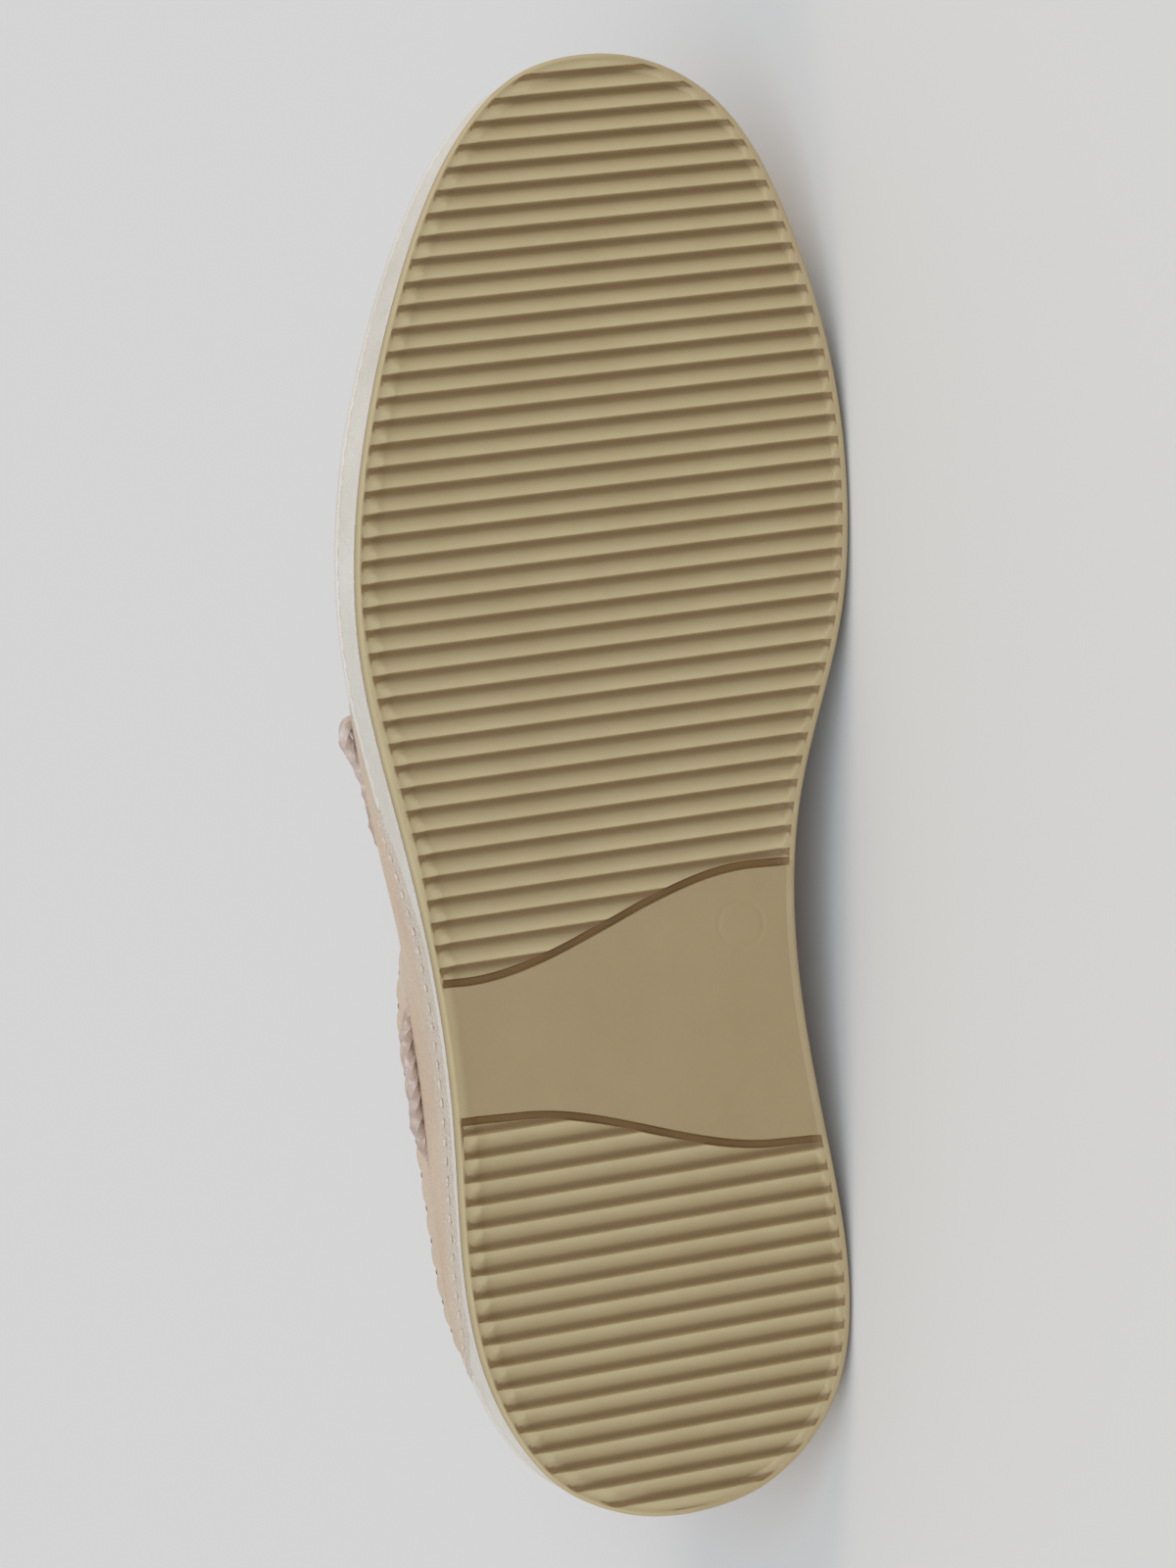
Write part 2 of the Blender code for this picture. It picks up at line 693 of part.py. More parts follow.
def build_strand(name, side):
    """The lace from a top eyelet up to the knot."""
    start, edge = over_eyelet("top", side)
    finish = np.array(KNOT_PLACE) + (STRAND_END[0], side * STRAND_END[1], STRAND_END[2])
    return build_lace(name, [start, edge, finish])


def build_side_lace():
    """The lace that lies along the outer quarter."""
    turns = -turn_at(np.linspace(*SIDE_LACE_SPAN, SIDE_LACE_POINTS))
    shares = SIDE_LACE_SHARE - SIDE_LACE_SAG * np.sin(np.linspace(0, math.pi, SIDE_LACE_POINTS))
    off_wall = wall_normal(turns, shares) * (SEAT_GAP + LACE_RADIUS)
    route = wall_outside(turns, shares) + off_wall
    return build_lace("lace_side_outer", route)


def build_knot():
    mesh = bpy.data.meshes.new("lace_knot")
    shaped = bmesh.new()
    size = Matrix.Diagonal((*(Vector(KNOT_SIZE) * MM), 1))
    levels = KNOT_SIDES // 2
    bmesh.ops.create_uvsphere(shaped, u_segments=KNOT_SIDES, v_segments=levels, radius=1, matrix=size)
    shaped.to_mesh(mesh)
    shaped.free()
    mesh.shade_smooth()
    knot = add_object("lace_knot", mesh, "lace_leather")
    knot.location = Vector(KNOT_PLACE) * MM
    return knot


def build_bow():
    """The knot, with a loop and an end on each side; the inner ones reach less far out from the knot."""
    pieces = [build_knot()]
    knot_half = KNOT_SIZE[1]
    for name, outer in (("loop", OUTER_LOOP), ("end", OUTER_END)):
        inner = np.array(outer)
        inner[:, 1] = knot_half - (inner[:, 1] + knot_half) * INNER_SHARE
        pieces += [build_lace(f"lace_{name}_outer", outer), build_lace(f"lace_{name}_inner", inner)]
    return pieces


def solid_points(thing):
    """World corners and triangles of an object, in metres."""
    shape = thing.evaluated_get(bpy.context.evaluated_depsgraph_get()).to_mesh()
    shape.calc_loop_triangles()
    points = np.array([thing.matrix_world @ v.co for v in shape.vertices])
    return points, np.array([t.vertices for t in shape.loop_triangles])


def weighed(thing, density):
    """Mass of an object, and its mass times its centre."""
    points, triangles = solid_points(thing)
    a, b, c = (points[triangles[:, k]] for k in range(3))
    volumes = np.einsum("ij,ij->i", a, np.cross(b, c)) / 6
    return density * volumes.sum(), density * ((a + b + c) / 4 * volumes[:, None]).sum(axis=0)


def resting_direction(points, centre):
    """The direction that faces the floor: the hull face on the inner side, under the centre of mass."""
    hull = bmesh.new()
    for point in points:
        hull.verts.new(point)
    found = bmesh.ops.convex_hull(hull, input=hull.verts)
    sides = [face for face in found["geom"] if isinstance(face, bmesh.types.BMFace)]
    towards = None
    for side in sides:
        side.normal_update()
        normal = side.normal if (side.calc_center_median() - centre).dot(side.normal) > 0 else -side.normal
        if normal.y > FACES_INWARDS and intersect_point_tri(centre, *[v.co for v in side.verts]):
            towards = normal.copy()
    hull.free()
    return towards


def lay_down(pieces, cords):
    """Puts the shoe on the floor on its inner side, with the origin under the middle of its box."""
    heavy = {"outsole": RUBBER_DENSITY, "midsole": RUBBER_DENSITY}
    bpy.context.view_layer.update()
    weights = [weighed(piece, heavy.get(piece.name, LEATHER_DENSITY)) for piece in pieces]
    centre = Vector(sum(moment for _, moment in weights) / sum(mass for mass, _ in weights))
    points = np.vstack([solid_points(piece)[0] for piece in pieces])
    down = resting_direction(points, centre)
    heel_row, ball_row = SOLE_OUTLINE[5], SOLE_OUTLINE[10]
    along = Vector((ball_row[0] - heel_row[0], ball_row[1] - heel_row[1], 0))
    along = (along - down * along.dot(down)).normalized()
    turned = Matrix((along, (-down).cross(along), -down))
    laid = points @ np.array(turned).T
    low, high = laid.min(axis=0), laid.max(axis=0)
    frame = bpy.data.objects.new("shoe_frame", None)
    bpy.context.scene.collection.objects.link(frame)
    frame.rotation_euler = turned.to_euler()
    frame.location = (-(low[0] + high[0]) / 2, -(low[1] + high[1]) / 2, -low[2])
    for piece in pieces + cords:
        piece.parent = frame


def main():
    for thing in list(bpy.data.objects):
        bpy.data.objects.remove(thing)
    pieces = [build_outsole(), build_midsole(), build_upper(), build_tongue(), build_insole()]
    for word, side in (("inner", 1), ("outer", -1)):
        pieces += [build_eyelet(f"eyelet_{place}_{word}", place, side) for place in EYELETS]
        pieces.append(build_strand(f"lace_strand_{word}", side))
    pieces += [build_front_bar(), build_side_lace()]
    lay_down(pieces, build_bow())


main()
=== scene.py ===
"""The looks of a right, low-cut lace-up shoe: pale leather on a ribbed gum sole, laid on its side."""

import json
import math

import bmesh
import bpy
import numpy as np
from mathutils import Matrix, Vector
from mathutils.geometry import delaunay_2d_cdt


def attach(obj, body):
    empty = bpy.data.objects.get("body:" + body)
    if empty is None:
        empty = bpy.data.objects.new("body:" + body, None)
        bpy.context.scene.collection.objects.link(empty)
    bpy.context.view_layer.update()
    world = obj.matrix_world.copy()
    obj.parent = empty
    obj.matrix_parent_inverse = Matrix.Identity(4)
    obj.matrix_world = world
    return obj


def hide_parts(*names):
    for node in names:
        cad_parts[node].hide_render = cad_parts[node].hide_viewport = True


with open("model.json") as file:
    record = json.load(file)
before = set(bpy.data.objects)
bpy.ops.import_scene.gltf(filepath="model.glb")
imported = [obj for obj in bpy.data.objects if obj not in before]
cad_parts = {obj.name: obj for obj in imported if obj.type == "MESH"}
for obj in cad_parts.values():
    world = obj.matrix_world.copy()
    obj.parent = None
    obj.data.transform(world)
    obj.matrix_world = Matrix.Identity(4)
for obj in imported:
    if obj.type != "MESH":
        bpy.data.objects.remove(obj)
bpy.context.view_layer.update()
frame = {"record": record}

# Sizes and tables are in millimetres, in the shoe's own axes:
# x from the heel to the toe, y towards the inner side of the foot, z up from the tread.
MM = 0.001
FULL_TURN = 2 * math.pi
# The two sides of the shoe, and the way along y that each lies.
SIDES = (("inner", 1), ("outer", -1))

SOLE_LENGTH = 263.2
TOE_SPRING = 13.0
TOE_BREAK = 157.0
HEEL_SPRING = 1.6
HEEL_BREAK = 26.0
OUTSOLE_THICK = 4.5
MIDSOLE_THICK = 10.8
SEAT_GAP = 0.3
WALL_THICK = 1.9
QUARTER_STEP = 1.0
INSOLE_THICK = 3.0
INSOLE_CLEAR = 0.6
LACE_RADIUS = 1.2
MIDSOLE_BASE = OUTSOLE_THICK + SEAT_GAP
SEAT_HEIGHT = MIDSOLE_BASE + MIDSOLE_THICK + SEAT_GAP

# The sole's edge: distance from the heel, then the inner and the outer edge from the long axis.
SOLE_OUTLINE = (
    # x, inner_y, outer_y
    (0.0, 1.3, 1.3),
    (2.5, 15.4, -11.4),
    (6.0, 21.6, -18.0),
    (16.0, 30.6, -26.9),
    (30.0, 35.3, -32.5),
    (48.0, 35.7, -34.7),
    (75.0, 32.4, -34.6),
    (103.0, 30.5, -36.6),
    (130.0, 34.1, -41.2),
    (155.0, 42.4, -45.2),
    (180.0, 46.3, -44.3),
    (205.0, 45.7, -38.7),
    (228.0, 41.4, -30.3),
    (244.0, 36.2, -22.0),
    (255.0, 28.9, -13.0),
    (261.5, 18.6, -2.4),
    (SOLE_LENGTH, 8.6, 8.6),
)
RING_COUNT = 320
FINE_COUNT = 1440

# Ribs across the tread, counted from the arch.
FORE_PITCH = 4.03
HEEL_PITCH = 4.127
RIB_DEPTH = 1.4
RIB_SLANT = math.tan(math.radians(3.5))
FORE_FIRST_GROOVE = 99.1
FORE_GROOVES = 42
HEEL_FIRST_GROOVE = 78.2
HEEL_GROOVES = 20
# One rib from groove to groove, towards the toe.
RIB_PROFILE = (
    # share of the pitch, share of the depth
    (0.00, 1.00),
    (0.10, 1.00),
    (0.17, 0.00),
    (0.46, 0.24),
    (0.90, 1.00),
    (1.00, 1.00),
)
RIB_SOFTNESS = 0.06
RIB_SAMPLES = 200
# Lines along each rib that carry corners of the tread's mesh.
RIB_LINES = (0.0, 0.06, 0.10, 0.135, 0.17, 0.21, 0.33, 0.46, 0.60, 0.75, 0.86, 0.93)
RIB_LINE_STEP = 5.0
# The smooth rim round the tread, and how far in the grooves reach their full depth on each side.
INNER_RIM = 1.1
OUTER_RIM = (
    # x, width
    (105.0, 0.65),
    (122.0, 1.4),
    (145.0, 1.3),
    (170.0, 0.65),
)
INNER_RIM_SLOPE = 1.6
OUTER_RIM_SLOPE = 3.2
RIM_SOFTNESS = 0.7
RIM_RINGS = 9
# The arch panel's own rim, and how wide its run down is on each side.
PANEL_RIM = 0.65
PANEL_INNER_SLOPE = 1.0
PANEL_OUTER_SLOPE = 2.6
# The share of the run in from the rim over which a groove's tip takes the darker colour: the rubber's
# deeper tone and painted shade.
GROOVE_TIP = 0.12
# How dark the ribs' grooves are painted, by depth: partly the rubber's deeper tone, partly painted shade
# down in them.
GROOVE_TONE_AND_SHADE = (
    # share of the depth, share of the darker colour
    (0.0, 0.0),
    (0.10, 0.05),
    (0.15, 0.13),
    (0.25, 0.21),
    (0.50, 0.29),
    (0.70, 0.36),
    (0.88, 0.51),
    (0.95, 0.68),
    (1.0, 0.86),
)
# How brown the arch panel is, and how dark the inner rim is painted: painted shade on the side that faces
# away from the light.
PANEL_BROWN = 0.46
INNER_RIM_SHADE = 0.3
# Corners of the tread's mesh that lie closer than this are one.
MERGE_DISTANCE = 1e-4
# The outsole's lower edge is rounded over this inset and height.
EDGE_ROUND = (0.5, 1.0)
EDGE_ROUND_STEPS = 7
# Its top runs up to the midsole's underside, drawn in on the outer side.
OUTSOLE_TOP = OUTSOLE_THICK + 0.8 * SEAT_GAP
OUTSOLE_TOP_INSET = 0.5

# The S-shaped grooves that bound the arch panel: x at the outer and the inner edge, and where each bends.
ARCH_GROOVES = (
    # outer_x, inner_x, bend_from_y, bend_to_y
    (98.6, 115.2, -32.0, 24.0),
    (74.1, 64.8, -22.0, 24.0),
)
ARCH_GROOVE_HALF = 0.9
ARCH_GROOVE_WALL = 0.3
ARCH_GROOVE_DEPTH = 1.4
ARCH_GROOVE_STEP = 1.2
ARCH_GROOVE_LINES = (0.0, 0.3, 0.6, 0.7, 0.8, 0.9, 1.1)
ARCH_PANEL_DEPTH = 0.5
ARCH_PANEL_STEP = 4.0
ARCH_PANEL_LINES = 8
# The round mark that the mould leaves on the arch panel.
GATE_MARK = (104.6, 20.3)
GATE_MARK_RADIUS = 4.2
GATE_MARK_LIP = 0.08
GATE_MARK_HALF = 0.4
GATE_MARK_RINGS = (3.2, 3.7, 4.0, 4.2, 4.4, 4.7, 5.2)
GATE_MARK_SIDES = 32

# The midsole's side: inset from the outline on each side, and height over its underside.
MIDSOLE_SIDE = (
    # inner_inset, outer_inset, height
    (1.2, 0.5, 0.0),
    (1.0, 0.2, 0.8),
    (2.0, -0.6, 8.6),
    (2.6, 0.6, 9.4),
    (2.6, 0.6, MIDSOLE_THICK),
)
# How much further the midsole's outer side stands out round the heel and the forefoot.
MIDSOLE_PROUD = (
    # x, proud
    (0.0, 1.2),
    (20.0, 1.0),
    (55.0, 0.0),
    (140.0, 0.2),
    (160.0, 0.6),
    (195.0, 1.6),
    (230.0, 1.4),
    (SOLE_LENGTH, 0.5),
)
MIDSOLE_STEP = 0.5
# The stitched channel round the midsole's side.
CHANNEL_HEIGHT = 7.2
CHANNEL_HALF = 0.9
CHANNEL_DEPTH = 0.4

# Sections of the upper, from the heel to the toe: where each starts on the sole's edge, its inset there,
# the rim that it climbs to, and how its wall is pulled at the sole (lift, flare) and at the rim
# (reach, drop).
UPPER_SECTIONS = (
    # sole_x, inner_inset, outer_inset, rim_x, rim_inner_y, rim_outer_y, rim_z, lift, flare, reach, drop
    (0.0, 3.0, 3.0, 9.0, -0.5, -0.5, 71.0, 22.0, 2.6, 1.0, 22.0),
    (12.0, 3.6, 2.8, 16.5, 16.5, -17.5, 67.5, 21.0, 1.4, 0.5, 20.0),
    (36.0, 3.9, 2.2, 36.0, 25.0, -26.0, 59.5, 20.0, 0.4, 0.3, 18.0),
    (68.0, 3.6, 2.2, 66.0, 28.0, -29.6, 55.0, 18.0, -0.5, 0.3, 16.0),
    (95.0, 3.6, 2.2, 92.0, 30.0, -29.9, 60.5, 19.0, -0.3, 1.2, 18.0),
    (118.0, 3.6, 1.8, 112.0, 23.0, -24.2, 66.5, 25.0, 1.0, 7.0, 18.0),
    (145.0, 3.9, 2.2, 130.0, 17.0, -17.5, 65.0, 26.0, 1.0, 14.0, 13.0),
    (178.0, 4.4, 3.0, 143.0, 13.5, -13.5, 61.6, 25.0, 0.6, 24.0, 10.0),
    (215.0, 4.6, 3.6, 150.0, 9.0, -9.0, 60.0, 25.0, 0.6, 38.0, 10.0),
    (248.0, 4.6, 4.0, 152.0, 4.6, -4.6, 60.2, 24.0, 1.4, 54.0, 13.0),
    (SOLE_LENGTH, 4.4, 4.4, 152.4, 0.0, 0.0, 60.4, 24.0, 2.0, 60.0, 14.0),
)
UPPER_COLUMNS = 640
UPPER_ROWS = 56
LINING_ROWS = 24
RIM_ROLL = 0.7
RIM_ROLL_STEPS = 5
# The quarters overlap the vamp along the section that starts here on the sole's edge.
QUARTER_SEAM_X = 150.0
QUARTER_SEAM_HALF = 0.004
QUARTER_SEAM_COLUMNS = 7
# Plain columns of the upper's mesh keep this share of a column clear of the seam's own.
COLUMN_CLEAR = 0.4

# Soft creases across the vamp where the foot bends: trough depth and half width, and the stretch of wall.
CREASES = (
    # sole_x, lean towards the toe up the wall, depth, half_width, share_from, share_to
    (172.0, 6.0, 0.35, 3.2, 0.12, 0.66),
    (186.0, 9.0, 0.45, 3.8, 0.16, 0.78),
    (201.0, 12.0, 0.30, 3.4, 0.20, 0.70),
)
CREASE_FADE = 0.14
# The low ridges beside each trough: share of its depth, and half widths off its middle.
CREASE_RIDGE = 0.5
CREASE_RIDGE_OFF = 1.6
# Pleats where the leather is pulled over the edge of the last.
PLEAT_DEPTH = 0.16
PLEAT_COUNT = 46
PLEAT_REACH = 0.16
PLEAT_DRIFT = 3
PLEAT_DRIFT_WAVES = 5

# The tongue, from its end under the vamp to its top.
TONGUE_SECTIONS = (
    # x, top_z, half_width
    (168.0, 52.6, 13.0),
    (154.0, 57.0, 15.5),
    (140.0, 62.4, 16.5),
    (125.0, 68.6, 17.5),
    (110.0, 75.0, 17.0),
    (99.0, 80.2, 14.0),
    (95.0, 82.0, 9.0),
)
TONGUE_CROWN = 30.0
TONGUE_THICK = 2.2
TONGUE_STEP = 1.5
TONGUE_ACROSS = 40
TONGUE_EDGE_POWER = 8

# Eyelets: where their section starts on the sole's edge, and how far up the wall they sit.
EYELETS = {
    # place: (sole_x, share of the wall)
    "front": (166.0, 0.90),
    "top": (136.0, 0.88),
}
EYELET_RADIUS = 3.3
EYELET_BORE = 1.8
EYELET_HEIGHT = 0.9
EYELET_SIDES = 40
EYELET_LIP_STEPS = 10
EYELET_LIP_POWER = 0.7
EYELET_BARREL = 2.15
EYELET_REACH = 3.0
EYELET_HOLE = 2.3

# The tied lace: the knot over the tongue, and what its loop and its end pass on the outer side.
KNOT_PLACE = (117.0, 0.0, 77.5)
KNOT_SIZE = (4.6, 5.2, 3.4)
STRAND_END = (0.0, 5.5, -2.4)
BAR_ARCH = 1.2
OUTER_LOOP = (
    # x, y, z
    (117.0, -5.6, 79.0),
    (116.0, -16.0, 76.5),
    (117.5, -25.5, 70.0),
    (123.0, -31.0, 64.2),
    (131.0, -33.0, 61.2),
    (137.0, -34.8, 60.2),
    (141.2, -37.0, 59.8),
    (144.6, -37.2, 60.0),
    (145.6, -35.6, 60.6),
    (143.0, -34.5, 61.0),
    (139.4, -32.8, 61.8),
    (135.0, -25.6, 66.6),
    (129.5, -14.6, 72.8),
    (121.2, -4.0, 76.4),
)
OUTER_END = (
    # x, y, z
    (113.2, -3.8, 78.4),
    (106.5, -12.0, 79.6),
    (101.0, -20.5, 76.4),
    (97.0, -28.0, 65.4),
)
# How far the inner loop and the inner end reach, as a share of the outer ones.
INNER_SHARE = 0.84
LACE_STEP = 0.7
LACE_SIDES = 16
# The lace is cut square and twisted: how square it is, the length of a full twist, and its small crinkles.
LACE_SQUARE = 4.5
LACE_TWIST = 14.0
LACE_CRINKLE = 0.09
LACE_CRINKLE_PITCH = 3.1
# The lace along the outer quarter: its two ends on the sole's edge, its share of the wall and its sag.
SIDE_LACE_SPAN = (93.4, 65.2)
SIDE_LACE_SHARE = 0.66
SIDE_LACE_SAG = 0.05
SIDE_LACE_POINTS = 6
SIDE_LACE_HOLE = 1.8
# How far the lace goes on inside the shoe, and how far it leans as it leaves an eyelet.
LACE_TAIL = 6.0
LACE_LEAN = 0.4
# How far a hole's punch reaches to each side of the wall's outer face.
PUNCH_REACH = 4.0

# Stitches: pitch along the row, the share of it that shows, and the thread's half width, height and taper.
STITCH_PITCH = 3.6
STITCH_SHOWN = 0.74
STITCH_HALF = 0.36
STITCH_PROUD = 0.30
STITCH_TAPER = 0.85
STITCH_AROUND = 8
STITCH_ALONG = 5

# The hem of the quarters, lapped over the midsole's side at the waist: the height of its lower edge over
# the midsole's underside, its thickness there, and the row of stitches above that edge.
HEM_EDGE = (
    # x, height
    (14.0, 12.4),
    (24.0, 10.4),
    (35.0, 2.0),
    (50.0, 1.2),
    (106.0, 1.2),
    (124.0, 4.8),
    (138.0, 11.8),
)
HEM_PROUD = 0.45
HEM_TAPER = 3
HEM_BACKING = 0.8
# The drop below the midsole's top over which the hem covers it, and how often its rows are smoothed.
HEM_RUN_IN = 2.0
HEM_SMOOTHING = 2
HEM_COLUMNS = 120
HEM_ROWS = 10
HEM_WALL_SHARES = (0.13, 0.10, 0.07, 0.04, 0.015)
HEM_STITCH_RISE = 2.2
HEM_STITCH_PITCH = 3.4
HEM_STITCH_SHOWN = 0.42

# Stitches along the collar's rim: pitch, size, and how the rim is pinched at each.
COLLAR_PITCH = 6.5
COLLAR_STITCH = 1.8
COLLAR_STITCH_SINK = 0.3
COLLAR_PINCH = 0.55
COLLAR_PINCH_HALF = 1.3
COLLAR_PINCH_SHARE = 0.94
COLLAR_SPAN = 118.0

# The camera: what it looks at on the tread, how far off, how far it leans to the outer side, and the roll
# of the shoe's long axis in the picture.
CAMERA_TARGET = (131.747, -6.310, 0.0)
CAMERA_DISTANCE = 700.0
CAMERA_LEAN = math.radians(15)
CAMERA_ROLL = math.radians(4.235)
CAMERA_LENS = 90.675

# A spot on the arch panel that the record's mount gives in the world.
ARCH_SPOT = (86.3, -3.7, 0.5)


def periodic_spline(knots, values):
    """A smooth closed curve through the values at rising knots, as a function of the turn."""
    count = len(knots)
    gaps = np.diff(np.append(knots, knots[0] + FULL_TURN))[:, None]
    slopes = (np.roll(values, -1, axis=0) - values) / gaps
    system = np.zeros((count, count))
    for i in range(count):
        system[i, i - 1] += gaps[i - 1, 0]
        system[i, i] += 2 * (gaps[i - 1, 0] + gaps[i, 0])
        system[i, (i + 1) % count] += gaps[i, 0]
    bends = np.linalg.solve(system, 6 * (slopes - np.roll(slopes, 1, axis=0)))

    def at(position):
        place = (np.atleast_1d(position) - knots[0]) % FULL_TURN + knots[0]
        i = np.searchsorted(knots, place, side="right") - 1
        j = (i + 1) % count
        width = gaps[i]
        after = (place - knots[i])[:, None]
        before = width - after
        straight = (values[i] * before + values[j] * after) / width
        from_left = bends[i] * (before**3 / width - before * width)
        from_right = bends[j] * (after**3 / width - after * width)
        return straight + (from_left + from_right) / 6

    return at


def smooth_path(points, step):
    """Points about a step apart on a smooth curve through the given ones."""
    points = np.array(points)
    ends = np.vstack([2 * points[0] - points[1], points, 2 * points[-1] - points[-2]])
    path = [points[0]]
    for a, b, c, d in zip(ends, ends[1:], ends[2:], ends[3:]):
        count = max(1, round(np.linalg.norm(c - b) / step))
        for t in np.arange(1, count + 1) / count:
            pull = (c - a) * t + (2 * a - 5 * b + 4 * c - d) * t**2 + (3 * b - a - 3 * c + d) * t**3
            path.append(b + pull / 2)
    return np.array(path)


def even_path(points, step):
    """Points the same distance apart along a line of points, about a step each."""
    points = np.array(points)
    lengths = np.linalg.norm(np.diff(points, axis=0), axis=1)
    travelled = np.concatenate([[0.0], np.cumsum(lengths)])
    count = max(1, round(travelled[-1] / step))
    stops = np.linspace(0, travelled[-1], count + 1)
    return np.column_stack([np.interp(stops, travelled, axis) for axis in points.T])


def smooth_step(share):
    share = np.clip(share, 0, 1)
    return share * share * (3 - 2 * share)


def unit(vectors):
    return vectors / np.linalg.norm(vectors, axis=-1, keepdims=True)


def turn_at(x):
    """Position round the sole on its inner side, from 0 at the heel to half a turn at the toe."""
    return np.arccos(np.clip(1 - 2 * np.asarray(x) / SOLE_LENGTH, -1, 1))


def round_the_shoe(table, inner_columns, outer_columns):
    """A closed curve through a heel-to-toe table, up the inner side and back down the outer side."""
    rows = np.array(table)
    turns = turn_at(rows[:, 0])
    knots = np.concatenate([turns, FULL_TURN - turns[-2:0:-1]])
    values = np.concatenate([rows[:, inner_columns], rows[-2:0:-1, outer_columns]])
    return periodic_spline(knots, values)


EDGE_Y = round_the_shoe(SOLE_OUTLINE, [1], [2])
SECTION = round_the_shoe(UPPER_SECTIONS, [1, 3, 4, 6, 7, 8, 9, 10], [2, 3, 5, 6, 7, 8, 9, 10])


def edge_plan(turn):
    turn = np.atleast_1d(turn)
    return np.stack([SOLE_LENGTH / 2 * (1 - np.cos(turn)), EDGE_Y(turn)[:, 0]], axis=1)


def sole_edge(turn):
    """Points of the sole's edge in plan, and the outward directions there."""
    nudge = 1e-4
    along = unit(edge_plan(turn + nudge) - edge_plan(turn - nudge))
    return edge_plan(turn), np.stack([-along[:, 1], along[:, 0]], axis=1)


def ring_turns(count):
    return np.arange(count) * FULL_TURN / count


def innerness(turn):
    """From 0 at the middle of the outer side to 1 at the middle of the inner side."""
    return (1 + np.sin(turn)) / 2


def sole_ring(inset, count=RING_COUNT):
    """The sole's edge moved inwards, in plan, from the heel up the inner side and back."""
    points, outward = sole_edge(ring_turns(count))
    return points - outward * np.reshape(inset, (-1, 1))


def ground_rise(x):
    """How far the underside stands off the ground: toe spring and a rounded heel."""
    toe = np.clip((x - TOE_BREAK) / (SOLE_LENGTH - TOE_BREAK), 0, None)
    heel = np.clip((HEEL_BREAK - x) / HEEL_BREAK, 0, None)
    return TOE_SPRING * toe**2 + HEEL_SPRING * heel**2


def level(plan):
    """Directions in plan as level directions in space."""
    return np.column_stack([plan, np.zeros(len(plan))])


def lifted(plan, height):
    """Points in plan, raised to a height over the curved underside."""
    return np.column_stack([plan, ground_rise(plan[:, 0]) + height])


# Where the shoe lies


def shoe_axes():
    """The shoe's axes in the world, one a row: along the sole, inwards, up from the tread."""
    up = -np.array(frame["record"]["mounts"][0]["axis"])
    heel_row, ball_row = SOLE_OUTLINE[5], SOLE_OUTLINE[10]
    heading = math.atan2(ball_row[1] - heel_row[1], ball_row[0] - heel_row[0])
    towards_ball = unit(np.array((-up[2], 0.0, up[0])))
    inwards = np.cross(up, towards_ball)
    along = towards_ball * math.cos(heading) - inwards * math.sin(heading)
    across = towards_ball * math.sin(heading) + inwards * math.cos(heading)
    return np.array((along, across, up))


SHOE_AXES = shoe_axes()
SHOE_ORIGIN = np.array(frame["record"]["mounts"][0]["pos_m"]) - np.array(ARCH_SPOT) * MM @ SHOE_AXES


def laid(points):
    """World places in metres of points in the shoe's axes."""
    return np.array(points) * MM @ SHOE_AXES + SHOE_ORIGIN


def place_camera():
    """The camera under the sole, leaning to the outer side, with the toe up in the picture."""
    heading = np.array((math.cos(CAMERA_ROLL), math.sin(CAMERA_ROLL), 0.0))
    outwards = np.array((math.sin(CAMERA_ROLL), -math.cos(CAMERA_ROLL), 0.0))
    towards_camera = outwards * math.sin(CAMERA_LEAN) - np.array((0.0, 0.0, math.cos(CAMERA_LEAN)))
    spot = laid(np.array(CAMERA_TARGET) + towards_camera * CAMERA_DISTANCE)
    picture_up = Vector(heading @ SHOE_AXES)
    backwards = Vector(towards_camera @ SHOE_AXES)
    lens = bpy.data.cameras.new("camera")
    lens.lens = CAMERA_LENS
    camera = bpy.data.objects.new("camera", lens)
    turned = Matrix((picture_up.cross(backwards), picture_up, backwards)).transposed()
    camera.matrix_world = Matrix.Translation(spot) @ turned.to_4x4()
    bpy.context.scene.collection.objects.link(camera)
    bpy.context.scene.camera = camera


# Shader nodes

# The places of a colour mix's sockets.
MIX_FACTOR, MIX_A, MIX_B, MIX_RESULT = 0, 6, 7, 2


def add_node(tree, kind, inputs=None, **settings):
    """A new node with its settings, each input a value or another node's output."""
    made = tree.nodes.new(kind)
    for key, value in settings.items():
        setattr(made, key, value)
    for key, value in (inputs or {}).items():
        if isinstance(value, bpy.types.NodeSocket):
            tree.links.new(value, made.inputs[key])
        else:
            made.inputs[key].default_value = value
    return made


def mixed(tree, share, first, second):
    """A colour between two, by a share."""
    inputs = {MIX_FACTOR: share, MIX_A: first, MIX_B: second}
    return add_node(tree, "ShaderNodeMix", inputs, data_type="RGBA").outputs[MIX_RESULT]


def calculated(tree, operation, first, second=0.0):
    return add_node(tree, "ShaderNodeMath", {0: first, 1: second}, operation=operation).outputs[0]


def ranged(tree, value, low, high, to_low=0.0, to_high=1.0):
    """A value stretched from one range to another, held at its ends."""
    inputs = {"Value": value, "From Min": low, "From Max": high, "To Min": to_low, "To Max": to_high}
    return add_node(tree, "ShaderNodeMapRange", inputs).outputs[0]


def new_group(name, inputs, outputs):
    """An empty node group with named sockets, its input node and its output node."""
    group = bpy.data.node_groups.new(name, "ShaderNodeTree")
    for label, (kind, value) in inputs.items():
        socket = group.interface.new_socket(label, in_out="INPUT", socket_type=f"NodeSocket{kind}")
        if value is not None:
            socket.default_value = value
    for label, kind in outputs.items():
        group.interface.new_socket(label, in_out="OUTPUT", socket_type=f"NodeSocket{kind}")
    return group, group.nodes.new("NodeGroupInput"), group.nodes.new("NodeGroupOutput")


# How far the pebbles of leather wander, in metres, how wide their slopes are and how deep their pores.
PEBBLE_WANDER = 0.0007
PEBBLE_SLOPE = 0.28
PORE_DEPTH = 0.35
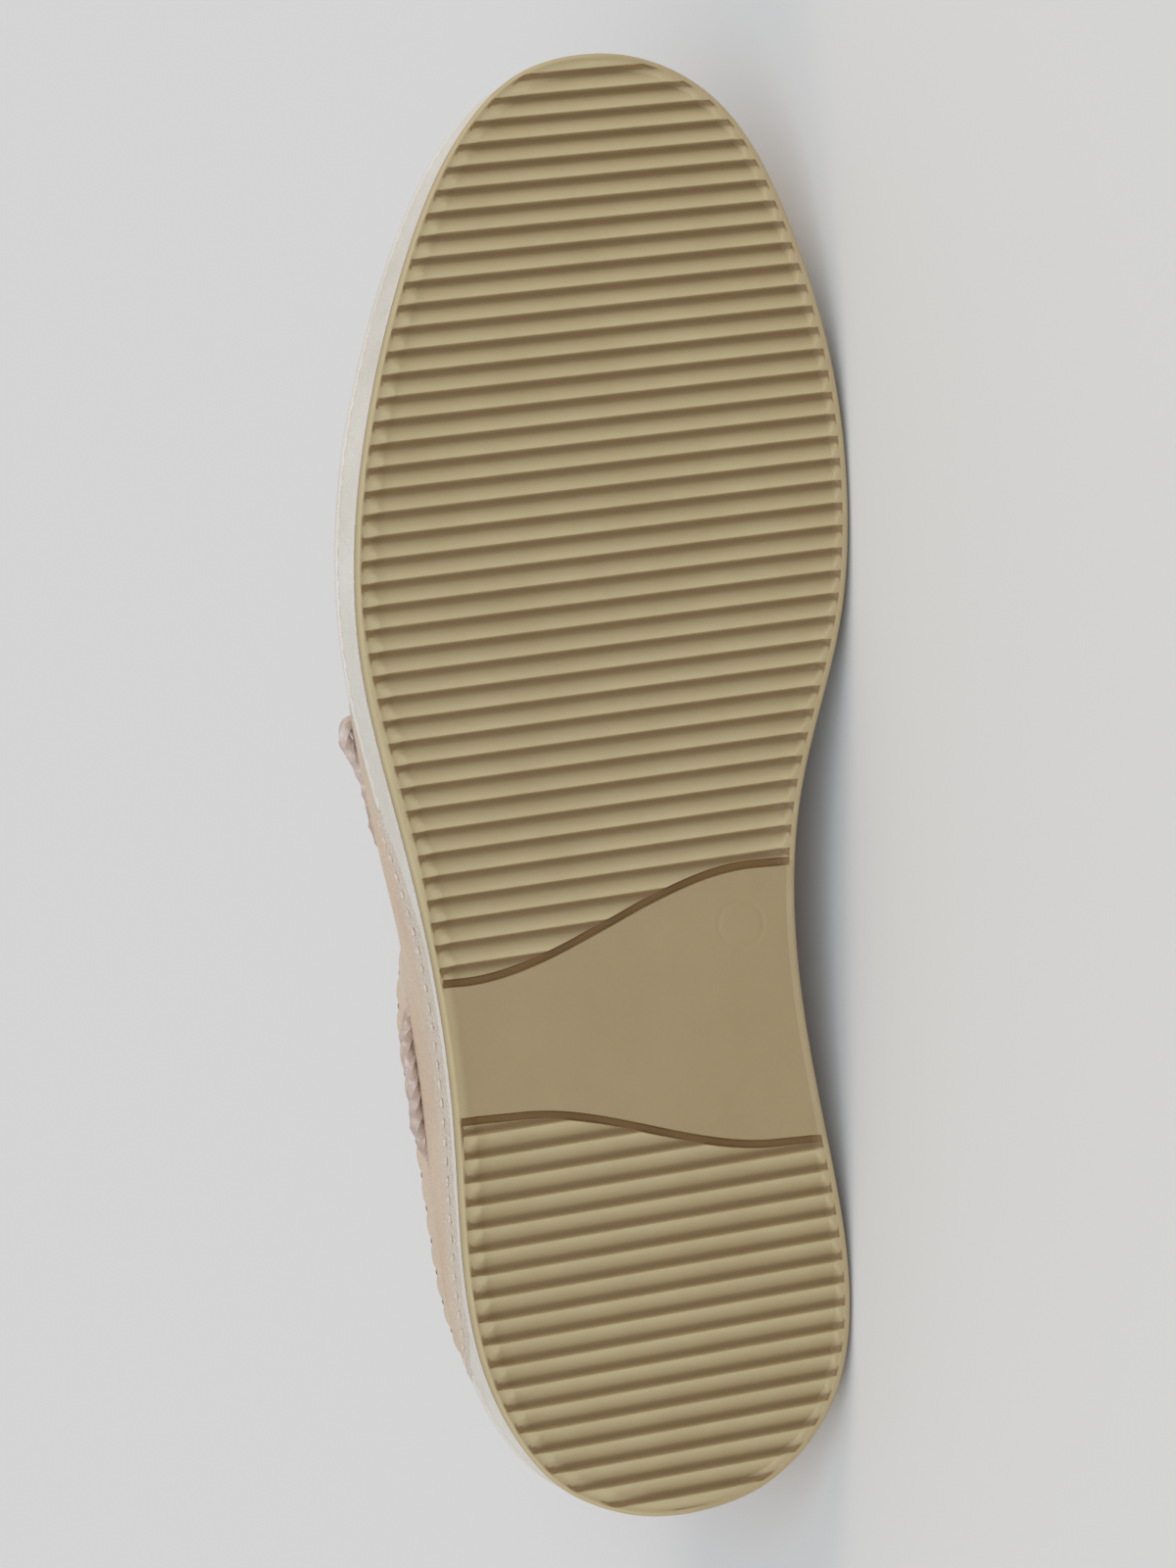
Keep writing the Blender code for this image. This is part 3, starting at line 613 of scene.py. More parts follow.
# The stretch of a noise's values that clouds of colour and rubbed patches use.
CLOUD_RANGE = (0.34, 0.68)
RUBBED_RANGE = (0.3, 0.7)


def make_hide_grain():
    """Rounded pebbles of leather with soft valleys between them, and finer pores."""
    inputs = {"Vector": ("Vector", None), "Scale": ("Float", 900.0)}
    group, start, end = new_group("hide_grain", inputs, {"Height": "Float", "Valleys": "Float"})
    place, scale = start.outputs["Vector"], start.outputs["Scale"]
    drift = add_node(group, "ShaderNodeTexNoise", {"Vector": place, "Scale": scale, "Detail": 2.0})
    wander = add_node(group, "ShaderNodeVectorMath", {0: drift.outputs["Color"]}, operation="SCALE")
    wander.inputs["Scale"].default_value = PEBBLE_WANDER
    bent = add_node(group, "ShaderNodeVectorMath", {0: place, 1: wander.outputs[0]}, operation="ADD")
    inputs = {"Vector": bent.outputs[0], "Scale": scale}
    cells = add_node(group, "ShaderNodeTexVoronoi", inputs, feature="DISTANCE_TO_EDGE")
    pebble = ranged(group, cells.outputs["Distance"], 0.0, PEBBLE_SLOPE)
    pores = calculated(group, "MULTIPLY", drift.outputs["Fac"], PORE_DEPTH)
    group.links.new(calculated(group, "ADD", pebble, pores), end.inputs["Height"])
    group.links.new(calculated(group, "SUBTRACT", 1.0, pebble), end.inputs["Valleys"])
    return group


def cloud_noise(group, start, detail, roughness):
    """Noise at a group's own place and scale."""
    inputs = {"Vector": start.outputs["Vector"], "Scale": start.outputs["Scale"]}
    inputs.update(Detail=detail, Roughness=roughness)
    return add_node(group, "ShaderNodeTexNoise", inputs).outputs["Fac"]


def make_mottling():
    """Two colours that drift into each other in soft clouds."""
    inputs = {
        "Vector": ("Vector", None),
        "Scale": ("Float", 60.0),
        "Light": ("Color", (1.0, 1.0, 1.0, 1.0)),
        "Dark": ("Color", (0.5, 0.5, 0.5, 1.0)),
    }
    group, start, end = new_group("mottling", inputs, {"Color": "Color"})
    mask = ranged(group, cloud_noise(group, start, 5.0, 0.62), *CLOUD_RANGE)
    group.links.new(mixed(group, mask, start.outputs["Light"], start.outputs["Dark"]), end.inputs["Color"])
    return group


def make_rubbing():
    """Roughness that changes in patches, where hands and ground have rubbed the surface."""
    inputs = {
        "Vector": ("Vector", None),
        "Scale": ("Float", 90.0),
        "Smooth": ("Float", 0.4),
        "Rough": ("Float", 0.6),
    }
    group, start, end = new_group("rubbing", inputs, {"Roughness": "Float"})
    patches = cloud_noise(group, start, 6.0, 0.7)
    smooth, rough = start.outputs["Smooth"], start.outputs["Rough"]
    group.links.new(ranged(group, patches, *RUBBED_RANGE, smooth, rough), end.inputs["Roughness"])
    return group


HIDE_GRAIN = make_hide_grain()
MOTTLING = make_mottling()
RUBBING = make_rubbing()


def placed_group(tree, group, inputs):
    return add_node(tree, "ShaderNodeGroup", inputs, node_tree=group)


def new_finish(name):
    """A new material: its node tree, its shader and the object's own coordinates."""
    material = bpy.data.materials.new(name)
    material.use_nodes = True
    tree = material.node_tree
    shader = tree.nodes["Principled BSDF"]
    return material, tree, shader, add_node(tree, "ShaderNodeTexCoord").outputs["Object"]


def clouded(tree, place, scale, light, dark):
    """A colour that drifts between two in soft clouds."""
    inputs = {"Vector": place, "Scale": scale, "Light": light, "Dark": dark}
    return placed_group(tree, MOTTLING, inputs).outputs["Color"]


def rub(tree, shader, place, scale, smooth, rough):
    """Gives a shader's roughness its rubbed patches."""
    inputs = {"Vector": place, "Scale": scale, "Smooth": smooth, "Rough": rough}
    rubbed = placed_group(tree, RUBBING, inputs)
    tree.links.new(rubbed.outputs["Roughness"], shader.inputs["Roughness"])


def rgb(red, green, blue):
    """A screen colour from 0 to 255 as a shader's colour."""
    screen = np.array((red, green, blue)) / 255
    linear = np.where(screen <= 0.04045, screen / 12.92, ((screen + 0.055) / 1.055) ** 2.4)
    return (*linear.tolist(), 1.0)


def raised(tree, shader, height, distance, strength=1.0):
    """Bump on a shader, from a height and the distance that its full range stands for, in metres."""
    inputs = {"Height": height, "Distance": distance, "Strength": strength}
    tree.links.new(add_node(tree, "ShaderNodeBump", inputs).outputs["Normal"], shader.inputs["Normal"])


GUM_CREST = rgb(186, 170, 131)
GUM_CREST_DARK = rgb(180, 163, 124)
# The darker gum colour of the grooves and the inner rim: partly the rubber's deeper tone, partly painted
# shade.
GUM_DARK_TONE_AND_SHADE = rgb(116, 83, 39)
MIDSOLE_WHITE = rgb(220, 217, 209)
MIDSOLE_SHADE = rgb(208, 203, 193)
BLUSH = rgb(224, 204, 180)
BLUSH_SHADE = rgb(213, 190, 165)
# A greyer tone for a painted highlight on the leather, along the hems' lower edges.
HIDE_HIGHLIGHT = rgb(204, 194, 182)
LINING_TAN = rgb(205, 184, 158)
LINING_SHADE = rgb(191, 168, 140)
LACE_PALE = rgb(210, 195, 186)
LACE_SHADE = rgb(160, 137, 124)
THREAD_PALE = rgb(222, 209, 196)
THREAD_SHADE = rgb(208, 194, 180)
THREAD_BROWN = rgb(158, 132, 116)
THREAD_BROWN_SHADE = rgb(124, 100, 86)
BRASS = rgb(214, 180, 120)
BRASS_SHADE = rgb(188, 150, 92)
# How much light goes through the gum, and how deep red, green and blue go, in metres.
GUM_GLOW = 0.08
GUM_GLOW_DEPTH = (0.0020, 0.0012, 0.0006)
# How far the valleys between leather's pebbles go to its darker colour.
VALLEY_SHADE = 0.4


def make_gum_rubber():
    """Translucent tan rubber with a dull moulded skin; browner grooves with painted shade, painted shade
    on the inner rim.
    """
    material, tree, shader, place = new_finish("gum_rubber_moulded")
    crest = clouded(tree, place, scale=70.0, light=GUM_CREST, dark=GUM_CREST_DARK)
    # The 'groove' attribute paints the darker colour: painted shade in the grooves, with the rubber's
    # deeper tone, and on the inner rim.
    groove = add_node(tree, "ShaderNodeAttribute", attribute_name="groove").outputs["Fac"]
    tree.links.new(mixed(tree, groove, crest, GUM_DARK_TONE_AND_SHADE), shader.inputs["Base Color"])
    rub(tree, shader, place, scale=120.0, smooth=0.42, rough=0.58)
    skin = add_node(tree, "ShaderNodeTexNoise", {"Vector": place, "Scale": 1400.0, "Detail": 3.0})
    raised(tree, shader, skin.outputs["Fac"], distance=0.00008, strength=0.5)
    shader.inputs["Subsurface Weight"].default_value = GUM_GLOW
    shader.inputs["Subsurface Radius"].default_value = GUM_GLOW_DEPTH
    return material


def make_midsole_foam():
    """Off-white rubbery foam with a fine moulded texture."""
    material, tree, shader, place = new_finish("midsole_foam")
    colour = clouded(tree, place, scale=45.0, light=MIDSOLE_WHITE, dark=MIDSOLE_SHADE)
    tree.links.new(colour, shader.inputs["Base Color"])
    rub(tree, shader, place, scale=150.0, smooth=0.5, rough=0.68)
    grain = placed_group(tree, HIDE_GRAIN, {"Vector": place, "Scale": 1500.0})
    raised(tree, shader, grain.outputs["Height"], distance=0.00010, strength=0.6)
    return material


def make_hide(name, colours, grain_scale, grain_depth, gloss, wax=0.0):
    """Leather with its pebbled grain, clouded colour and rubbed gloss, turned greyer where an attribute
    paints a highlight.
    """
    material, tree, shader, place = new_finish(name)
    light, dark = colours
    smooth, rough = gloss
    clouds = clouded(tree, place, scale=38.0, light=light, dark=dark)
    grain = placed_group(tree, HIDE_GRAIN, {"Vector": place, "Scale": grain_scale})
    valleys = calculated(tree, "MULTIPLY", grain.outputs["Valleys"], VALLEY_SHADE)
    grained = mixed(tree, valleys, clouds, dark)
    # Painted highlight: a mesh's attribute turns the leather towards the greyer tone.
    highlight = add_node(tree, "ShaderNodeAttribute", attribute_name="highlight").outputs["Fac"]
    tree.links.new(mixed(tree, highlight, grained, HIDE_HIGHLIGHT), shader.inputs["Base Color"])
    rub(tree, shader, place, scale=80.0, smooth=smooth, rough=rough)
    raised(tree, shader, grain.outputs["Height"], distance=grain_depth, strength=0.7)
    shader.inputs["Coat Weight"].default_value = wax
    return material


def make_thread(name, light, dark):
    """Waxed thread, its strands twisted."""
    material, tree, shader, place = new_finish(name)
    colour = clouded(tree, place, scale=500.0, light=light, dark=dark)
    tree.links.new(colour, shader.inputs["Base Color"])
    rub(tree, shader, place, scale=300.0, smooth=0.45, rough=0.65)
    inputs = {"Vector": place, "Scale": 900.0, "Distortion": 1.5}
    twist = add_node(tree, "ShaderNodeTexWave", inputs, bands_direction="DIAGONAL")
    raised(tree, shader, twist.outputs["Fac"], distance=0.00012, strength=0.8)
    return material


def make_brass():
    """Lacquered brass with faint handling marks."""
    material, tree, shader, place = new_finish("eyelet_lacquered_brass")
    colour = clouded(tree, place, scale=350.0, light=BRASS, dark=BRASS_SHADE)
    tree.links.new(colour, shader.inputs["Base Color"])
    rub(tree, shader, place, scale=700.0, smooth=0.18, rough=0.34)
    shader.inputs["Metallic"].default_value = 1.0
    return material


GUM_RUBBER = make_gum_rubber()
MIDSOLE_FOAM = make_midsole_foam()
BLUSH_LEATHER = make_hide(
    "blush_leather_grained",
    colours=(BLUSH, BLUSH_SHADE),
    grain_scale=950.0,
    grain_depth=0.00022,
    gloss=(0.38, 0.55),
)
LINING_LEATHER = make_hide(
    "lining_leather",
    colours=(LINING_TAN, LINING_SHADE),
    grain_scale=1500.0,
    grain_depth=0.00008,
    gloss=(0.55, 0.72),
)
LACE_LEATHER = make_hide(
    "lace_leather_twisted",
    colours=(LACE_PALE, LACE_SHADE),
    grain_scale=480.0,
    grain_depth=0.00016,
    gloss=(0.22, 0.40),
    wax=0.4,
)
THREAD = make_thread("waxed_thread", THREAD_PALE, THREAD_SHADE)
DARK_THREAD = make_thread("waxed_thread_brown", THREAD_BROWN, THREAD_BROWN_SHADE)
EYELET_METAL = make_brass()


# Pieces

# Edges that bend by more degrees than this stay sharp, the second on padding and thread.
SHARP_EDGE = 50
SOFT_EDGE = 60


def shaped_mesh(name, points, faces, sharp=None):
    """A smooth mesh from points in the shoe's axes, its faces turned outwards."""
    mesh = bpy.data.meshes.new(name)
    mesh.from_pydata(laid(points).tolist(), [], faces)
    shaped = bmesh.new()
    shaped.from_mesh(mesh)
    bmesh.ops.recalc_face_normals(shaped, faces=shaped.faces)
    shaped.to_mesh(mesh)
    shaped.free()
    mesh.shade_smooth()
    if sharp:
        mesh.set_sharp_from_angle(angle=math.radians(sharp))
    return mesh


def add_piece(name, solid, finish, nodes=(), sharp=SHARP_EDGE):
    """A piece from points and faces that rides on the shoe's one body and stands for the given nodes."""
    mesh = shaped_mesh(name, *solid, sharp)
    mesh.materials.append(finish)
    piece = bpy.data.objects.new(name, mesh)
    bpy.context.scene.collection.objects.link(piece)
    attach(piece, "root")
    if nodes:
        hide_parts(*nodes)
    return piece


def side_faces(rings, count):
    """Quads between rings of points that follow each other."""
    faces = []
    for low in range(0, (rings - 1) * count, count):
        high = low + count
        for i in range(count):
            j = (i + 1) % count
            faces.append((low + i, low + j, high + j, high + i))
    return faces


def looped_tube(rings):
    """Points and faces of a tube through rings of points, the last ring joined to the first."""
    count = len(rings[0])
    last = (len(rings) - 1) * count
    closing = [(last + i, last + (i + 1) % count, (i + 1) % count, i) for i in range(count)]
    return np.vstack(rings), side_faces(len(rings), count) + closing


def cap_faces(start, count):
    """Strips across a ring, from its inner to its outer side."""
    half = count // 2
    strips = [(start, start + 1, start + count - 1)]
    for i in range(1, half - 1):
        strips.append((start + i, start + i + 1, start + count - i - 1, start + count - i))
    strips.append((start + half - 1, start + half, start + half + 1))
    return strips


# The laces

# A direction that no lace starts along.
OFF_EVERY_LACE = (0.3, 0.5, 0.8)


def inner_route(route):
    """The same route on the inner side, where it reaches less far out from the knot."""
    mirrored = np.array(route)
    knot_half = KNOT_SIZE[1]
    mirrored[:, 1] = knot_half - (mirrored[:, 1] + knot_half) * INNER_SHARE
    return mirrored


def carried_sides(path):
    """Two directions across a path at each of its points, carried along it without twisting."""
    along = unit(np.gradient(path, axis=0))
    side = unit(np.cross(along[0], OFF_EVERY_LACE))
    pairs = []
    for ahead in along:
        side = unit(side - ahead * (side @ ahead))
        pairs.append((side, np.cross(ahead, side)))
    return pairs


def closed_tube(rings):
    """Points and faces of a tube through rings of points, with flat ends."""
    sides = len(rings[0])
    last = (len(rings) - 1) * sides
    faces = side_faces(len(rings), sides)
    faces += [tuple(range(sides)), tuple(range(last, last + sides))]
    return np.vstack(rings), faces


def lace_path(route):
    return even_path(smooth_path(route, LACE_STEP), LACE_STEP)


def round_tube(route, radius):
    """Points and faces of a round tube along a route."""
    path = lace_path(route)
    around = ring_turns(LACE_SIDES)[:, None]
    rings = []
    for spot, (side, other) in zip(path, carried_sides(path)):
        rings.append(spot + radius * (np.cos(around) * side + np.sin(around) * other))
    return closed_tube(rings)


def lace_tube(route):
    """Points and faces of a square-cut, twisted and slightly crinkled lace along a route."""
    path = lace_path(route)
    around = ring_turns(LACE_SIDES)
    spread = np.abs(np.cos(around)) ** LACE_SQUARE + np.abs(np.sin(around)) ** LACE_SQUARE
    square = spread ** (-1 / LACE_SQUARE)
    section = LACE_RADIUS * square / square.mean()
    rings = []
    for i, (side, other) in enumerate(carried_sides(path)):
        travelled = i * LACE_STEP
        twist = FULL_TURN * travelled / LACE_TWIST
        crinkle = 1 + LACE_CRINKLE * np.sin(FULL_TURN * travelled / LACE_CRINKLE_PITCH + 2 * around)
        radius = (section * crinkle)[:, None]
        angle = (around + twist)[:, None]
        rings.append(path[i] + radius * (np.cos(angle) * side + np.sin(angle) * other))
    return closed_tube(rings)


def joined(solids):
    """Several sets of points and faces as one."""
    points, faces = [], []
    for some, polygons in solids:
        start = sum(len(p) for p in points)
        points.append(some)
        faces += [tuple(start + i for i in polygon) for polygon in polygons]
    return np.vstack(points), faces


# The knot: how far its wrapped turns spread along the lace, and how many there are.
WRAP_SPREAD = 1.9
WRAP_TURNS = 1.75
WRAP_POINTS = 28


def build_knot():
    """The knot: turns of lace wrapped round the strands that pass through it."""
    centre = np.array(KNOT_PLACE)
    spin = np.linspace(0, WRAP_TURNS * FULL_TURN, WRAP_POINTS)
    half_x, half_z = KNOT_SIZE[0] - LACE_RADIUS, KNOT_SIZE[2] - LACE_RADIUS
    spread = np.linspace(-WRAP_SPREAD, WRAP_SPREAD, WRAP_POINTS)
    wrap = centre + np.column_stack([half_x * np.cos(spin), spread, half_z * np.sin(spin)])
    solids = [lace_tube(wrap)]
    for start in (OUTER_LOOP[0], OUTER_LOOP[-1], OUTER_END[0]):
        outer = np.array(start)
        inner = inner_route([start])[0]
        solids.append(lace_tube([outer, (outer + centre) / 2, (inner + centre) / 2, inner]))
    return add_piece("lace_knot_wrapped", joined(solids), LACE_LEATHER, ["lace_knot"])


def tie_bow():
    """The bow: its knot, two loops that go back into it, and two cut ends."""
    knot = build_knot()
    for word, side in (("outer", np.array), ("inner", inner_route)):
        for part, route, far_end in (("loop", OUTER_LOOP, "object"), ("end", OUTER_END, "bare")):
            node = f"lace_{part}_{word}"
            piece = add_piece(f"{node}_cord", lace_tube(side(route)), LACE_LEATHER, [node])
            path = laid(lace_path(side(route)))


# The sole


def arch_groove_x(groove, y):
    outer_x, inner_x, bend_from, bend_to = groove
    return outer_x + (inner_x - outer_x) * smooth_step((y - bend_from) / (bend_to - bend_from))


def groove_places(first, count, pitch):
    """Where the grooves cross the long axis, a pitch apart along the curved underside."""
    places = [first]
    for _ in range(count - 1):
        slope = ground_rise(places[-1] + 0.5) - ground_rise(places[-1] - 0.5)
        places.append(places[-1] + pitch / math.hypot(1, slope))
    return np.sort(places)


def softened_rib():
    """The rib's profile with its corners rounded, as shares of the pitch and of the depth."""
    shares = np.arange(RIB_SAMPLES) / RIB_SAMPLES
    depths = np.interp(shares, *np.transpose(RIB_PROFILE))
    reach = round(RIB_SOFTNESS * RIB_SAMPLES / 2)
    depths = np.mean([np.roll(depths, shift) for shift in range(-reach, reach + 1)], axis=0)
    return np.append(shares, 1.0), np.append(depths, depths[0])


RIB_SHARES, RIB_DEPTHS = softened_rib()
FORE_PLACES = groove_places(FORE_FIRST_GROOVE, FORE_GROOVES, FORE_PITCH)
HEEL_PLACES = groove_places(HEEL_FIRST_GROOVE, HEEL_GROOVES, -HEEL_PITCH)
FINE_EDGE = sole_ring(0.0, FINE_COUNT)
# Places across the tread, wider than the sole.
ACROSS_TREAD = np.arange(-48.0, 48.0, 0.5)
# How many points are measured against the edge in one go.
POINTS_AT_ONCE = 2000


def edge_span(x):
    """The sole's outer and inner edge at distances from the heel."""
    turn = turn_at(x)
    return EDGE_Y(-turn)[:, 0], EDGE_Y(turn)[:, 0]


def from_edge(plan):
    """Distance in from the sole's edge, 0 outside it."""
    away = np.empty(len(plan))
    for start in range(0, len(plan), POINTS_AT_ONCE):
        some = plan[start : start + POINTS_AT_ONCE]
        apart = np.hypot(some[:, 0, None] - FINE_EDGE[:, 0], some[:, 1, None] - FINE_EDGE[:, 1])
        away[start : start + POINTS_AT_ONCE] = apart.min(axis=1)
    outer_y, inner_y = edge_span(plan[:, 0])
    return np.where((outer_y < plan[:, 1]) & (plan[:, 1] < inner_y), away, 0.0)


def rib_depth(plan, places, heel):
    """Depth of a ribbed pad, whose steps face the heel at the forefoot and the toe at the heel."""
    along = plan[:, 0] - plan[:, 1] * RIB_SLANT
    i = np.clip(np.searchsorted(places, along) - 1, 0, len(places) - 2)
    share = (along - places[i]) / (places[i + 1] - places[i])
    return RIB_DEPTH * np.interp(1 - share if heel else share, RIB_SHARES, RIB_DEPTHS)


def rim_run(x, inner_share):
    """How wide the rim is, and the run from it down to the full depth."""
    outer_rim = np.interp(x, *np.transpose(OUTER_RIM))
    width = outer_rim + (INNER_RIM - outer_rim) * inner_share
    return width, OUTER_RIM_SLOPE + (INNER_RIM_SLOPE - OUTER_RIM_SLOPE) * inner_share


def run_out(depth, inside):
    """A groove's depth, running out softly from full (inside 1) to nothing at the rim (inside 0)."""
    left = depth - RIB_DEPTH * (1 - inside)
    softness = RIM_SOFTNESS * (1 - inside)
    rounded = (left + np.hypot(left, softness)) / 2
    return rounded * np.clip(inside / GROOVE_TIP, 0, 1)


def tread_cut(plan):
    """How deep the underside is cut at each point, and how far its colour is painted darker there: tone
    and painted shade.
    """
    x, y = plan.T
    outer_y, inner_y = edge_span(x)
    inner_share = smooth_step((y - outer_y) / np.maximum(inner_y - outer_y, MERGE_DISTANCE))
    away = from_edge(plan)
    rim, slope = rim_run(x, inner_share)
    inside = np.clip((away - rim) / slope, 0, 1)
    front = x - arch_groove_x(ARCH_GROOVES[0], y)
    rear = arch_groove_x(ARCH_GROOVES[1], y) - x
    ribs = np.where(front > 0, rib_depth(plan, FORE_PLACES, False), 0.0)
    ribs = np.where(rear > 0, rib_depth(plan, HEEL_PLACES, True), ribs)
    off_groove = np.minimum(np.abs(front), np.abs(rear))
    in_groove = smooth_step((ARCH_GROOVE_HALF - off_groove) / ARCH_GROOVE_WALL)
    grooves = np.maximum(ribs, ARCH_GROOVE_DEPTH * in_groove)
    narrowed = run_out(grooves, inside)
    from_mark = np.hypot(x - GATE_MARK[0], y - GATE_MARK[1])
    lip = GATE_MARK_LIP * np.exp(-(((from_mark - GATE_MARK_RADIUS) / GATE_MARK_HALF) ** 2))
    on_panel = (front < 0) & (rear < 0)
    panel_slope = PANEL_OUTER_SLOPE + (PANEL_INNER_SLOPE - PANEL_OUTER_SLOPE) * inner_share
    run_down = smooth_step((away - PANEL_RIM) / panel_slope)
    panel = np.where(on_panel, ARCH_PANEL_DEPTH + lip, 0.0) * run_down
    # The darker colour: painted shade with the rubber's deeper tone in the rib grooves, painted shade in
    # the arch grooves, a browner arch panel, painted shade on the inner rim.
    tones_and_shades = (
        np.interp(narrowed / RIB_DEPTH / np.maximum(inside, GROOVE_TIP), *np.transpose(GROOVE_TONE_AND_SHADE)),
        in_groove * np.clip(inside / GROOVE_TIP, 0, 1),
        np.where(on_panel, PANEL_BROWN, 0.0) * np.maximum(run_down, inner_share),
        INNER_RIM_SHADE * inner_share * (1 - inside),
    )
    return np.maximum(narrowed, panel), np.max(tones_and_shades, axis=0)


def tread_height(plan):
    """How high the cut underside stands over the ground."""
    return ground_rise(plan[:, 0]) + tread_cut(plan)[0]


def within_rim(line):
    """The stretch of a line that lies within the rim."""
    return line[from_edge(line) > PANEL_RIM]


def rib_lines():
    """Lines along the ribs, each cut off at the rim and at the arch groove."""
    lines = []
    for places, groove, towards in ((FORE_PLACES, ARCH_GROOVES[0], 1), (HEEL_PLACES, ARCH_GROOVES[1], -1)):
        for a, b in zip(places, places[1:]):
            for share in RIB_LINES:
                on_axis = a + (b - a) * (share if towards > 0 else 1 - share)
                line = np.column_stack([on_axis + ACROSS_TREAD * RIB_SLANT, ACROSS_TREAD])
                ahead = (line[:, 0] - arch_groove_x(groove, ACROSS_TREAD)) * towards > 0
                kept = within_rim(line[ahead])
                if len(kept) > 2:
                    lines.append(even_path([kept[0], kept[-1]], RIB_LINE_STEP))
    return lines


def arch_lines():
    """Lines along the two arch grooves and across the panel between them."""
    lines = []
    for groove in ARCH_GROOVES:
        offsets = [side * offset for offset in ARCH_GROOVE_LINES for side in (-1, 1)]
        for offset in sorted(set(offsets)):
            line = np.column_stack([arch_groove_x(groove, ACROSS_TREAD) + offset, ACROSS_TREAD])
            lines.append(even_path(within_rim(line), ARCH_GROOVE_STEP))
    front, rear = (arch_groove_x(groove, ACROSS_TREAD) for groove in ARCH_GROOVES)
    for share in np.linspace(0, 1, ARCH_PANEL_LINES + 2)[1:-1]:
        line = np.column_stack([rear + (front - rear) * share, ACROSS_TREAD])
        lines.append(even_path(within_rim(line), ARCH_PANEL_STEP))
    for radius in GATE_MARK_RINGS:
        around = np.append(ring_turns(GATE_MARK_SIDES), 0.0)
        lines.append(np.array(GATE_MARK) + radius * np.column_stack([np.cos(around), np.sin(around)]))
    return lines


def tread_mesh(edge):
    """The underside inside an edge ring: places in plan, triangles, and the edge's places among them."""
    turns = ring_turns(RING_COUNT)
    rim, slope = rim_run(edge_plan(turns)[:, 0], innerness(turns))
    rings = [edge, sole_ring(PANEL_RIM)]
    rings += [sole_ring(rim + slope * share) for share in np.linspace(0, 1, RIM_RINGS)]
    lines = [np.vstack([ring, ring[:1]]) for ring in rings] + rib_lines() + arch_lines()
    spots = [tuple(p) for line in lines for p in line]
    edges = []
    start = 0
    for line in lines:
        edges += [(start + i, start + i + 1) for i in range(len(line) - 1)]
        start += len(line)
    inside_constraints = 1
    corners = [Vector(p) for p in spots]
    meshed = delaunay_2d_cdt(corners, edges, [], inside_constraints, MERGE_DISTANCE)
    plan, _, faces, sources = meshed[:4]
    place_of = {source: i for i, found in enumerate(sources) for source in found}
    return np.array(plan), faces, [place_of[i] for i in range(len(edge))]


def tread_normals(plan):
    """Directions off the underside, from its slope each way."""
    nudge = 0.04
    slopes = []
    for step in ((nudge, 0.0), (0.0, nudge)):
        rise = tread_height(plan + step) - tread_height(plan - step)
        slopes.append(rise / (2 * nudge))
    return unit(np.column_stack([*slopes, -np.ones(len(plan))])) @ SHOE_AXES


def build_outsole():
    """The gum outsole: ribbed pads, a smooth arch panel between S-shaped grooves, and a rounded edge."""
    round_inset, round_height = EDGE_ROUND
    climb = np.linspace(0, math.pi / 2, EDGE_ROUND_STEPS)
    rings = [
        lifted(sole_ring(round_inset * (1 - math.sin(swing))), round_height * (1 - math.cos(swing)))
        for swing in climb
    ]
    inner_share = innerness(ring_turns(RING_COUNT))
    drawn_in = OUTSOLE_TOP_INSET * (1 - inner_share)
    rings += [lifted(sole_ring(drawn_in / 2), OUTSOLE_THICK / 2), lifted(sole_ring(drawn_in), OUTSOLE_TOP)]
    plan, faces, border = tread_mesh(rings[0][:, :2])
    depth, tone_and_shade = tread_cut(plan)
    points = np.vstack([lifted(plan, depth)] + rings[1:])
    start = len(plan)
    for i in range(RING_COUNT):
        j = (i + 1) % RING_COUNT
        faces.append((border[i], border[j], start + j, start + i))
    upper_rings = len(rings) - 1
    faces += [tuple(start + i for i in face) for face in side_faces(upper_rings, RING_COUNT)]
    faces += cap_faces(start + (upper_rings - 1) * RING_COUNT, RING_COUNT)
    solid = points, faces
    outsole = add_piece("outsole_ribbed", solid, GUM_RUBBER, ["outsole"], sharp=None)
    mesh = outsole.data
    normals = np.zeros((len(points), 3))
    normals[:start] = tread_normals(plan)
    normals[border] = 0
    mesh.normals_split_custom_set_from_vertices(normals.tolist())
    # The 'groove' attribute carries the darker colour, painted shade included; the side rings take only
    # the inner rim's painted shade.
    groove = mesh.attributes.new("groove", "FLOAT", "POINT")
    # Painted shade on the inner side of the outsole's edge and its rounding.
    inner_side_shade = np.tile(INNER_RIM_SHADE * smooth_step(inner_share), upper_rings)
    groove.data.foreach_set("value", np.append(tone_and_shade, inner_side_shade))


def midsole_inset(turn, height):
    """How far the midsole's side stands in from the outline at a height over its underside."""
    inner, outer, heights = smooth_path(MIDSOLE_SIDE, MIDSOLE_STEP).T
    proud = np.interp(edge_plan(turn)[:, 0], *np.transpose(MIDSOLE_PROUD))
    inner_inset = np.interp(height, heights, inner)
    outer_inset = np.interp(height, heights, outer) - proud * height / MIDSOLE_THICK
    return outer_inset + (inner_inset - outer_inset) * innerness(turn)


def channel_cut(height):
    """How deep the stitched channel cuts into the midsole's side at a height."""
    return CHANNEL_DEPTH * smooth_step(1 - abs(height - CHANNEL_HEIGHT) / CHANNEL_HALF)


